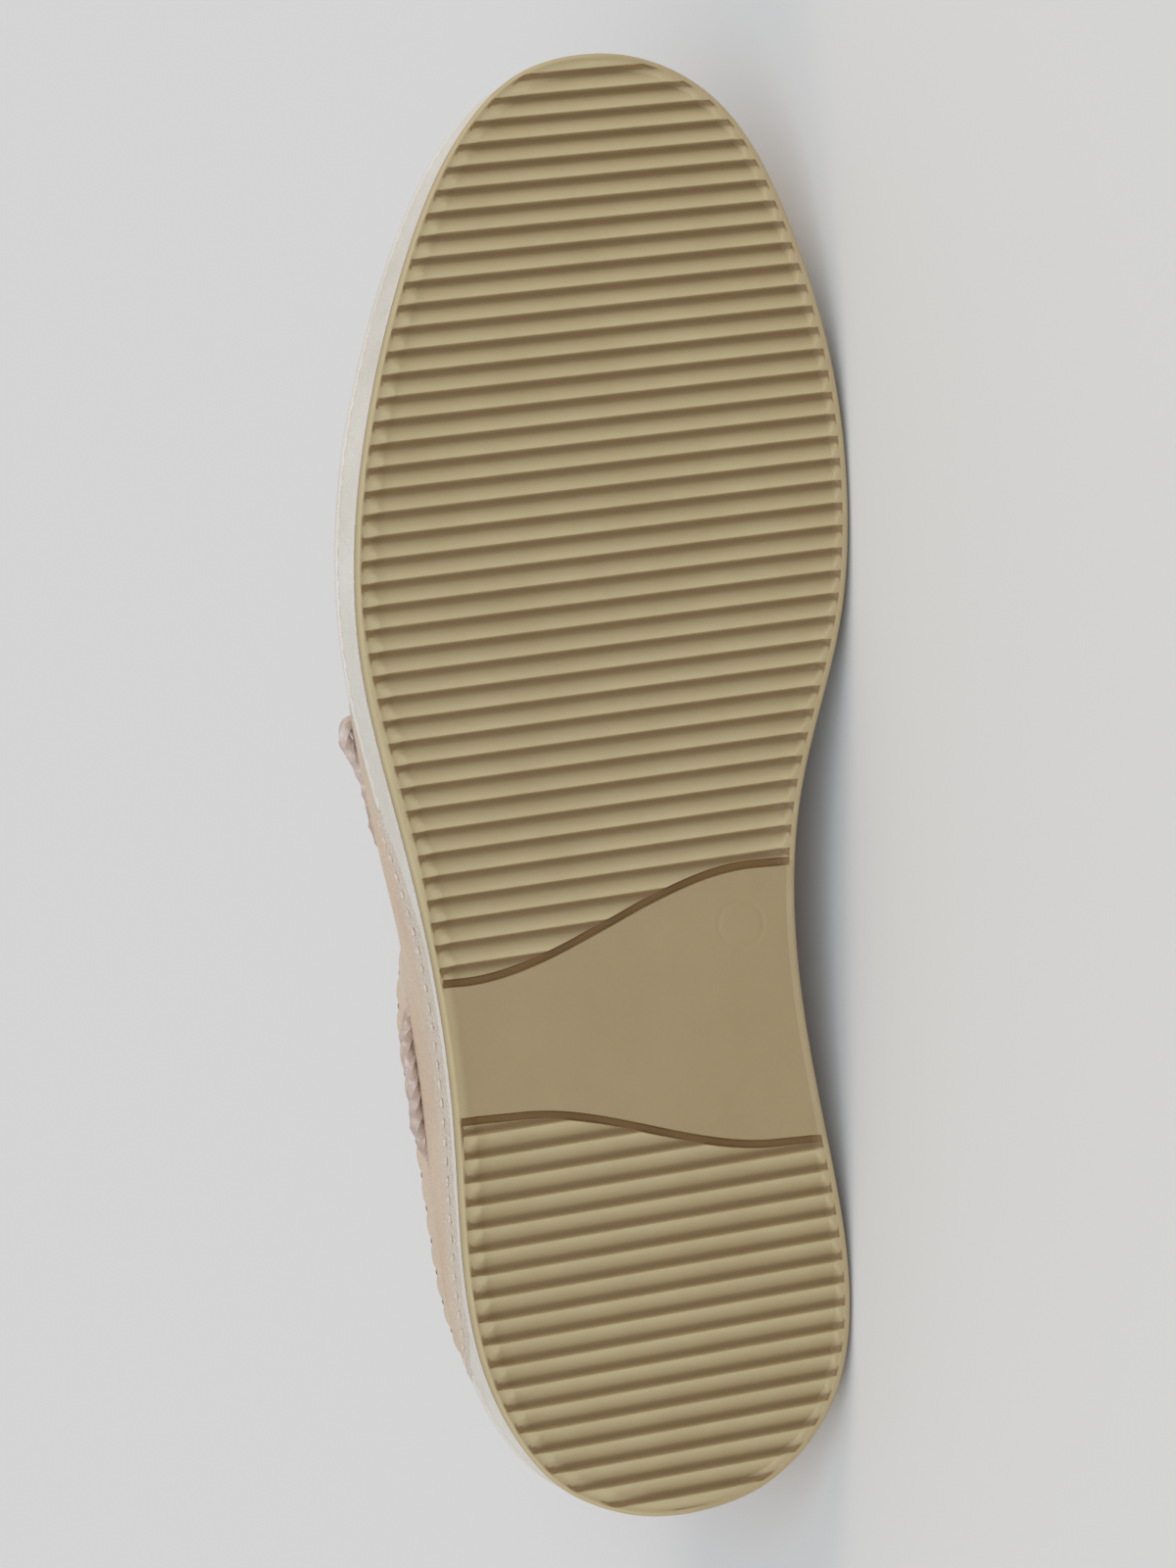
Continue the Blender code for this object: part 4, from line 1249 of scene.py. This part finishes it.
def build_midsole():
    """The white midsole: a band with a step round its side and a channel for the stitches."""
    heights = np.arange(0, MIDSOLE_THICK + MIDSOLE_STEP / 2, MIDSOLE_STEP / 2)
    heights[-1] = MIDSOLE_THICK
    turns = ring_turns(RING_COUNT)
    insets = [midsole_inset(turns, h) + channel_cut(h) for h in heights]
    rings = [lifted(sole_ring(inset), MIDSOLE_BASE + h) for inset, h in zip(insets, heights)]
    faces = side_faces(len(rings), RING_COUNT)
    faces += cap_faces(0, RING_COUNT) + cap_faces((len(rings) - 1) * RING_COUNT, RING_COUNT)
    solid = np.vstack(rings), faces
    add_piece("midsole_band", solid, MIDSOLE_FOAM, ["midsole"])


# The insole: strips across its top, the rounding of its edge, and how far its middle is dished.
INSOLE_ACROSS = 24
INSOLE_ROUND = (
    # inset, height
    (0.0, 0.0),
    (0.0, 2.2),
    (0.25, 2.7),
    (0.8, INSOLE_THICK),
)
INSOLE_DISH = 0.5


def build_insole():
    """The insole: a leather-covered pad with a rounded edge, slightly dished along its middle."""
    inset = SECTION(ring_turns(RING_COUNT))[:, 0] + WALL_THICK + INSOLE_CLEAR
    rings = [lifted(sole_ring(inset + inwards), SEAT_HEIGHT + height) for inwards, height in INSOLE_ROUND]
    points = np.vstack(rings)
    faces = side_faces(len(rings), RING_COUNT) + cap_faces(0, RING_COUNT)
    half = RING_COUNT // 2
    rim_start = (len(rings) - 1) * RING_COUNT
    rim = rings[-1]
    shares = np.linspace(0, 1, INSOLE_ACROSS + 1)[1:-1]
    dish = INSOLE_DISH * np.sin(shares * math.pi) ** 2
    rows = [[rim_start] * (INSOLE_ACROSS + 1)]
    grid = []
    for i in range(1, half):
        inner, outer = rim[i], rim[RING_COUNT - i]
        row = inner + (outer - inner) * shares[:, None]
        row[:, 2] -= dish
        first = len(points) + len(grid) * len(shares)
        rows.append([rim_start + i, *range(first, first + len(shares)), rim_start + RING_COUNT - i])
        grid.append(row)
    rows.append([rim_start + half] * (INSOLE_ACROSS + 1))
    for near, far in zip(rows, rows[1:]):
        for j in range(INSOLE_ACROSS):
            corners = (near[j], near[j + 1], far[j + 1], far[j])
            faces.append(tuple(dict.fromkeys(corners)))
    solid = np.vstack([points] + grid), faces
    add_piece("insole_pad", solid, LINING_LEATHER, ["insole"], sharp=SOFT_EDGE)


# The upper


def wall_skin(turn, share):
    """The last's surface: a curve from the sole's edge (share 0) up to the rim (share 1)."""
    turn = np.atleast_1d(turn)
    inset, rim_x, rim_y, rim_z, lift, flare, reach, drop = SECTION(turn).T[:, :, None]
    edge, outward = sole_edge(turn)
    up = np.array([[0.0, 0.0, 1.0]])
    foot = lifted(edge - outward * inset, SEAT_HEIGHT)
    rim = np.column_stack([rim_x, rim_y, rim_z])
    towards_foot = unit((foot - rim) * (1, 1, 0))
    low = foot + up * lift + level(outward) * flare
    high = rim + towards_foot * reach - up * drop
    t = np.reshape(share, (-1, 1))
    return foot * (1 - t) ** 3 + low * 3 * t * (1 - t) ** 2 + high * 3 * t**2 * (1 - t) + rim * t**3


def wall_normal(turn, share):
    """The outward direction of the last's surface."""
    nudge = 1e-3
    share = np.clip(share, nudge, 1 - nudge)
    round_it = wall_skin(turn + nudge, share) - wall_skin(turn - nudge, share)
    upwards = wall_skin(turn, share + nudge) - wall_skin(turn, share - nudge)
    return unit(np.cross(upwards, round_it))


SEAM_TURN = float(turn_at(QUARTER_SEAM_X))


def from_heel(turn):
    """How far round from the heel a place is, on either side."""
    return np.abs((turn + math.pi) % FULL_TURN - math.pi)


def quarter_share(turn):
    """1 on the quarters, 0 on the vamp, with a short step at the seam on each side."""
    return smooth_step((SEAM_TURN + QUARTER_SEAM_HALF - from_heel(turn)) / (2 * QUARTER_SEAM_HALF))


def crease_relief(turn, share):
    """Soft troughs across the vamp, each between two low ridges."""
    relief = np.zeros(len(turn))
    sole_x = SOLE_LENGTH / 2 * (1 - np.cos(turn))
    for crease_x, lean, depth, half_width, share_from, share_to in CREASES:
        off = (sole_x - crease_x - lean * share) / half_width
        low_end = smooth_step((share - share_from) / CREASE_FADE)
        high_end = smooth_step((share_to - share) / CREASE_FADE)
        ridges = CREASE_RIDGE * np.exp(-((np.abs(off) - CREASE_RIDGE_OFF) ** 2))
        relief += low_end * high_end * depth * (ridges - np.exp(-(off**2)))
    return relief


def pleat_relief(turn, share):
    """Low pleats where the leather turns under at the sole."""
    fade = smooth_step(1 - share / PLEAT_REACH)
    return PLEAT_DEPTH * fade * np.sin(PLEAT_COUNT * turn + PLEAT_DRIFT * np.sin(PLEAT_DRIFT_WAVES * turn))


def collar_run():
    """Places round the collar's rim and the distance along it, from the outer throat to the inner."""
    turns = np.linspace(-turn_at(COLLAR_SPAN), turn_at(COLLAR_SPAN), FINE_COUNT)
    steps = np.linalg.norm(np.diff(wall_skin(turns, 1.0), axis=0), axis=1)
    return turns, np.concatenate([[0.0], np.cumsum(steps)])


COLLAR_TURNS, COLLAR_RUN = collar_run()
COLLAR_STOPS = np.arange(COLLAR_PITCH / 2, COLLAR_RUN[-1], COLLAR_PITCH)


def pinch_relief(turn, share):
    """The collar's rim, drawn in at each of its stitches."""
    signed = (turn + math.pi) % FULL_TURN - math.pi
    run = np.interp(signed, COLLAR_TURNS, COLLAR_RUN)
    off_stitch = np.abs(run[:, None] - COLLAR_STOPS).min(axis=1)
    fade = smooth_step((share - COLLAR_PINCH_SHARE) / (1 - COLLAR_PINCH_SHARE))
    return -COLLAR_PINCH * fade * np.exp(-((off_stitch / COLLAR_PINCH_HALF) ** 2))


def wall_outside(turn, share):
    """The upper's outer face, with the quarters a step proud of the vamp."""
    turn = np.atleast_1d(turn)
    proud = QUARTER_STEP * quarter_share(turn)
    for relief in (crease_relief, pleat_relief, pinch_relief):
        proud = proud + relief(turn, share)
    return wall_skin(turn, share) + wall_normal(turn, share) * proud[:, None]


def wall_inside(turn, share):
    return wall_skin(turn, share) - wall_normal(turn, share) * WALL_THICK


def upper_turns():
    """Columns round the upper, with close ones at each end of the quarters."""
    close = np.linspace(-1, 1, QUARTER_SEAM_COLUMNS) * QUARTER_SEAM_HALF
    seams = np.concatenate([SEAM_TURN + close, FULL_TURN - SEAM_TURN + close])
    clear = COLUMN_CLEAR * FULL_TURN / UPPER_COLUMNS
    plain = [t for t in ring_turns(UPPER_COLUMNS) if np.abs(seams - t).min() > clear]
    return np.sort(np.concatenate([plain, seams]))


def eyelet_seat(place, side):
    """Where an eyelet sits on the upper, and the direction that it faces: side 1 is inner, -1 outer."""
    sole_x, share = EYELETS[place]
    turn = np.atleast_1d(side * turn_at(sole_x))
    return wall_outside(turn, share)[0], wall_normal(turn, share)[0]


def side_lace_places():
    """Places along the outer quarter that the side lace passes, and the directions off the wall there."""
    turns = -turn_at(np.linspace(*SIDE_LACE_SPAN, SIDE_LACE_POINTS))
    shares = SIDE_LACE_SHARE - SIDE_LACE_SAG * np.sin(np.linspace(0, math.pi, SIDE_LACE_POINTS))
    return wall_outside(turns, shares), wall_normal(turns, shares)


def punch(centre, facing, radius):
    """A short round punch through the wall, as points and faces."""
    reach = facing * PUNCH_REACH
    return round_tube([centre + reach, centre, centre - reach], radius)


def punch_holes(upper):
    """Cuts the eyelet holes and the holes of the side lace through the upper."""
    punches = [punch(*eyelet_seat(place, side), EYELET_HOLE) for place in EYELETS for side in (1, -1)]
    places, facings = side_lace_places()
    punches += [punch(places[i], facings[i], SIDE_LACE_HOLE) for i in (0, -1)]
    cutter = bpy.data.objects.new("punches", shaped_mesh("punches", *joined(punches)))
    bpy.context.scene.collection.objects.link(cutter)
    cut = upper.modifiers.new("holes", "BOOLEAN")
    cut.operation = "DIFFERENCE"
    cut.object = cutter
    depsgraph = bpy.context.evaluated_depsgraph_get()
    punched = bpy.data.meshes.new_from_object(upper.evaluated_get(depsgraph))
    upper.modifiers.clear()
    upper.data = punched
    bpy.data.objects.remove(cutter)


def build_upper():
    """The hollow leather upper: vamp, quarters a step proud, a rolled rim, and its lining inside."""
    turns = upper_turns()
    outside = [wall_outside(turns, share) for share in np.linspace(0, 1, UPPER_ROWS + 1)]
    inside = [wall_inside(turns, share) for share in np.linspace(1, 0, LINING_ROWS + 1)]
    inside[-1][:, 2] = np.maximum(inside[-1][:, 2], outside[0][:, 2])
    upwards = unit(outside[-1] - outside[-2])
    roll = []
    for swing in np.linspace(0, math.pi, RIM_ROLL_STEPS + 2)[1:-1]:
        across = (1 - math.cos(swing)) / 2
        between = outside[-1] + (inside[0] - outside[-1]) * across
        roll.append(between + upwards * RIM_ROLL * math.sin(swing))
    solid = looped_tube(outside + roll + inside)
    upper = add_piece("upper_leather", solid, BLUSH_LEATHER, ["upper"])
    upper.data.materials.append(LINING_LEATHER)
    lined_from = (len(outside) + len(roll)) * len(turns)
    lined = [int(i >= lined_from) for i in range(len(upper.data.polygons))]
    upper.data.polygons.foreach_set("material_index", lined)
    punch_holes(upper)


def build_tongue():
    """The tongue: a crowned leather flap with rounded edges."""
    path = smooth_path(TONGUE_SECTIONS, TONGUE_STEP)
    across = np.sin(np.linspace(-1, 1, TONGUE_ACROSS + 1) * math.pi / 2)
    fullness = np.sqrt(np.clip(1 - np.abs(across) ** TONGUE_EDGE_POWER, 0, 1))
    rings = []
    for x, top_z, half_width in path:
        y = across * half_width
        middle = top_z - TONGUE_THICK / 2 - y**2 / (2 * TONGUE_CROWN)
        top = np.column_stack([np.full(len(y), x), y, middle + fullness * TONGUE_THICK / 2])
        below = np.column_stack([np.full(len(y), x), y, middle - fullness * TONGUE_THICK / 2])
        rings.append(np.vstack([top, below[-2:0:-1]]))
    add_piece("tongue_flap", closed_tube(rings), BLUSH_LEATHER, ["tongue"])


def build_eyelet(place, word, side):
    """A rolled brass eyelet whose barrel goes through the wall."""
    seat, facing = eyelet_seat(place, side)
    swing = np.linspace(0, math.pi, EYELET_LIP_STEPS)
    lip_middle = (EYELET_RADIUS + EYELET_BORE) / 2
    lip_half = (EYELET_RADIUS - EYELET_BORE) / 2
    lip_radii = lip_middle + lip_half * np.cos(swing)
    lip_heights = EYELET_HEIGHT * np.sin(swing) ** EYELET_LIP_POWER
    radii = [*lip_radii, EYELET_BORE, EYELET_BARREL, EYELET_BARREL]
    heights = [*lip_heights, -EYELET_REACH, -EYELET_REACH, 0.0]
    across = unit(np.cross(facing, (0.0, 0.0, 1.0)))
    other = np.cross(facing, across)
    around = ring_turns(EYELET_SIDES)[:, None]
    circle = np.cos(around) * across + np.sin(around) * other
    seated = seat + facing * SEAT_GAP
    rings = [seated + circle * radius + facing * height for radius, height in zip(radii, heights)]
    name = f"eyelet_{place}_{word}"
    add_piece(f"{name}_rolled", looped_tube(rings), EYELET_METAL, [name])


LACE_OVER_EYELET = SEAT_GAP + EYELET_HEIGHT + SEAT_GAP + LACE_RADIUS


def out_of_eyelet(place, side):
    """The lace's way up out of an eyelet's bore and over its edge towards the throat."""
    seat, facing = eyelet_seat(place, side)
    across = np.array((0.0, -side, 0.0))
    across = unit(across - facing * (across @ facing))
    below = [seat - facing * depth for depth in (LACE_TAIL, LACE_RADIUS)]
    above = seat + facing * LACE_RADIUS + across * LACE_LEAN
    edge = seat + facing * LACE_OVER_EYELET + across * (EYELET_RADIUS + LACE_RADIUS)
    return [*below, above, edge]


def thread_laces():
    """The lace that the shoe holds: the front bar, a strand to the knot on each side, the side lace."""
    outer, inner = out_of_eyelet("front", -1), out_of_eyelet("front", 1)
    middle = (outer[-1] + inner[-1]) / 2 + (0, 0, BAR_ARCH)
    routes = {"lace_front_bar": [*outer, middle, *inner[::-1]]}
    for word, side in SIDES:
        finish = np.array(KNOT_PLACE) + (STRAND_END[0], side * STRAND_END[1], STRAND_END[2])
        routes[f"lace_strand_{word}"] = [*out_of_eyelet("top", side), finish]
    places, facings = side_lace_places()
    over = places + facings * LACE_RADIUS
    into_first = [places[0] - facings[0] * depth for depth in (LACE_TAIL, LACE_RADIUS)]
    into_last = [places[-1] - facings[-1] * depth for depth in (LACE_RADIUS, LACE_TAIL)]
    routes["lace_side_outer"] = [*into_first, *over[1:-1], *into_last]
    for node, route in routes.items():
        add_piece(f"{node}_cord", lace_tube(route), LACE_LEATHER, [node])


# Stitching


def stitch(start, end, facing, shown=STITCH_SHOWN):
    """One stitch between two points on a surface, with the direction off it, as points and faces."""
    along = end - start
    across = unit(np.cross(facing, along))
    around = ring_turns(STITCH_AROUND)[:, None]
    circle = np.cos(around) * across * STITCH_HALF + np.sin(around) * facing * STITCH_PROUD
    rings = []
    for sway in np.linspace(-1, 1, STITCH_ALONG):
        centre = (start + end) / 2 + along * sway * shown / 2
        rings.append(centre + circle * math.sqrt(1 - STITCH_TAPER * sway**2))
    return closed_tube(rings)


def stitch_row(spots, facings, shown=STITCH_SHOWN):
    """Stitches from each of a row of points on a surface to the next, with the directions off it."""
    return [stitch(a, b, facing, shown) for a, b, facing in zip(spots, spots[1:], facings)]


def add_stitching(name, solids, thread=THREAD):
    add_piece(name, joined(solids), thread, sharp=SOFT_EDGE)


def stitch_midsole():
    """The stitches in the channel round the midsole."""
    turns = np.append(ring_turns(FINE_COUNT), FULL_TURN)
    edge, outward = sole_edge(turns)
    plan = edge - outward * (midsole_inset(turns, CHANNEL_HEIGHT) + CHANNEL_DEPTH)[:, None]
    spots = even_path(lifted(plan, MIDSOLE_BASE + CHANNEL_HEIGHT), STITCH_PITCH)
    picks = np.linspace(0, len(plan) - 1, len(spots)).round().astype(int)
    add_stitching("midsole_stitches", stitch_row(spots, level(outward[picks])))


def hem_turns(side):
    """Places round the sole along the hem of one quarter: side 1 is inner, -1 outer."""
    return side * turn_at(np.linspace(HEM_EDGE[0][0], HEM_EDGE[-1][0], HEM_COLUMNS))


def hem_edge(turns):
    """The height of the hem's lower edge, and how far the hem covers the midsole, from 0 to 1."""
    height = np.interp(edge_plan(turns)[:, 0], *np.transpose(HEM_EDGE))
    return np.minimum(height, MIDSOLE_THICK), smooth_step((MIDSOLE_THICK - height) / HEM_RUN_IN)


def on_midsole(turns, height, proud):
    """Places a little proud of the midsole's side at a height over its underside."""
    edge, outward = sole_edge(turns)
    inset = midsole_inset(turns, height) - proud
    return lifted(edge - outward * inset[:, None], MIDSOLE_BASE + height)


def hem_rows(turns, proud):
    """Rows of the hem from the wall, over the midsole's top edge and down its side."""
    low, cover = hem_edge(turns)
    rows = []
    for share in HEM_WALL_SHARES:
        off_wall = wall_normal(turns, share) * (proud * cover)[:, None]
        rows.append(wall_outside(turns, share) + off_wall)
    for down in np.linspace(0, 1, HEM_ROWS):
        thinned = proud * (1 - down**HEM_TAPER) if proud > 0 else proud
        rows.append(on_midsole(turns, MIDSOLE_THICK + (low - MIDSOLE_THICK) * down, thinned * cover))
    rows = np.array(rows)
    for _ in range(HEM_SMOOTHING):
        rows[1:-1] = (rows[:-2] + 2 * rows[1:-1] + rows[2:]) / 4
    return rows


def build_hem(word, side):
    """The hem of a quarter, lapped down over the midsole's side at the waist."""
    turns = hem_turns(side)
    outside = hem_rows(turns, HEM_PROUD)
    backing = hem_rows(turns, -HEM_BACKING)
    columns = [np.vstack([outside[:, i], backing[::-1, i]]) for i in range(HEM_COLUMNS)]
    hem = add_piece(f"quarter_hem_{word}", closed_tube(columns), BLUSH_LEATHER)
    # Painted highlight: the hem turns greyer from the midsole's top edge down to its lower edge.
    highlight_rows = np.append(np.zeros(len(HEM_WALL_SHARES)), np.linspace(0, 1, HEM_ROWS))
    highlight = hem.data.attributes.new("highlight", "FLOAT", "POINT")
    highlight.data.foreach_set("value", np.tile(np.append(highlight_rows, highlight_rows[::-1]), HEM_COLUMNS))


def stitch_hem(word, side):
    """The row of stitches above the hem's lower edge, each half of it facing as its end does."""
    turns = hem_turns(side)
    low, cover = hem_edge(turns)
    turns, low = turns[cover == 1], low[cover == 1]
    spots = even_path(on_midsole(turns, low + HEM_STITCH_RISE, HEM_PROUD), HEM_STITCH_PITCH)
    _, end_facings = sole_edge(turns[[0, -1]])
    facings = np.repeat(level(end_facings), len(spots) // 2, axis=0)
    solids = stitch_row(spots, facings, HEM_STITCH_SHOWN)
    add_stitching(f"quarter_hem_stitches_{word}", solids)


def stitch_collar():
    """Dark stitches in the pinches of the collar's rim, from the throat round the heel and back."""
    solids = []
    half = COLLAR_STITCH / 2
    for stop in COLLAR_STOPS:
        turns = np.interp((stop - half, stop + half), COLLAR_RUN, COLLAR_TURNS)
        facing = unit(wall_normal(turns, 1.0) + np.array((0.0, 0.0, 1.0)))
        line = wall_outside(turns, 1.0) + (0.0, 0.0, RIM_ROLL / 2) - facing * COLLAR_STITCH_SINK
        solids.append(stitch(*line, facing[0]))
    add_stitching("collar_stitches", solids, DARK_THREAD)


# The floor and the light

FLOOR_SIZE = 8.0
FLOOR_GREY = (0.70, 0.70, 0.70, 1.0)
FLOOR_ROUGHNESS = 0.9


def lay_floor():
    """A plain matt floor under the shoe."""
    mesh = bpy.data.meshes.new("studio_floor")
    half = FLOOR_SIZE / 2
    corners = [(-half, -half, 0), (half, -half, 0), (half, half, 0), (-half, half, 0)]
    mesh.from_pydata(corners, [], [(0, 1, 2, 3)])
    material = bpy.data.materials.new("studio_floor")
    material.use_nodes = True
    shader = material.node_tree.nodes["Principled BSDF"]
    shader.inputs["Base Color"].default_value = FLOOR_GREY
    shader.inputs["Roughness"].default_value = FLOOR_ROUGHNESS
    mesh.materials.append(material)
    floor = bpy.data.objects.new("studio_floor", mesh)
    bpy.context.scene.collection.objects.link(floor)


SKY_GREY = (0.85, 0.86, 0.88, 1.0)
SKY_STRENGTH = 0.52
COOL_WHITE = (0.74, 0.88, 1.0)
WARM_WHITE = (1.0, 0.815, 0.635)
# Lamps: the direction towards each, its strength, how wide it looks and its colour.
LAMPS = {
    # name: (direction, strength, degrees across, colour)
    "key_lamp": ((0.0, -0.75, 0.66), 1.50, 50.0, COOL_WHITE),
    "toe_lamp": ((0.85, -0.05, 0.40), 1.17, 45.0, WARM_WHITE),
    "heel_lamp": ((-0.85, -0.15, 0.40), 0.81, 45.0, WARM_WHITE),
}


def light_studio():
    """An even sky and the lamps."""
    world = bpy.data.worlds.new("studio")
    world.use_nodes = True
    sky = world.node_tree.nodes["Background"]
    sky.inputs["Color"].default_value = SKY_GREY
    sky.inputs["Strength"].default_value = SKY_STRENGTH
    bpy.context.scene.world = world
    bpy.context.scene.view_settings.view_transform = "Standard"
    for name, (direction, strength, spread, colour) in LAMPS.items():
        sun = bpy.data.lights.new(name, "SUN")
        sun.energy = strength
        sun.angle = math.radians(spread)
        sun.color = colour
        lamp = bpy.data.objects.new(name, sun)
        lamp.rotation_euler = Vector(direction).to_track_quat("Z", "Y").to_euler()
        bpy.context.scene.collection.objects.link(lamp)


def main():
    place_camera()
    tie_bow()
    build_outsole()
    build_midsole()
    build_insole()
    build_upper()
    build_tongue()
    for place in EYELETS:
        for word, side in SIDES:
            build_eyelet(place, word, side)
    thread_laces()
    stitch_midsole()
    for word, side in SIDES:
        build_hem(word, side)
        stitch_hem(word, side)
    stitch_collar()
    lay_floor()
    light_studio()


main()
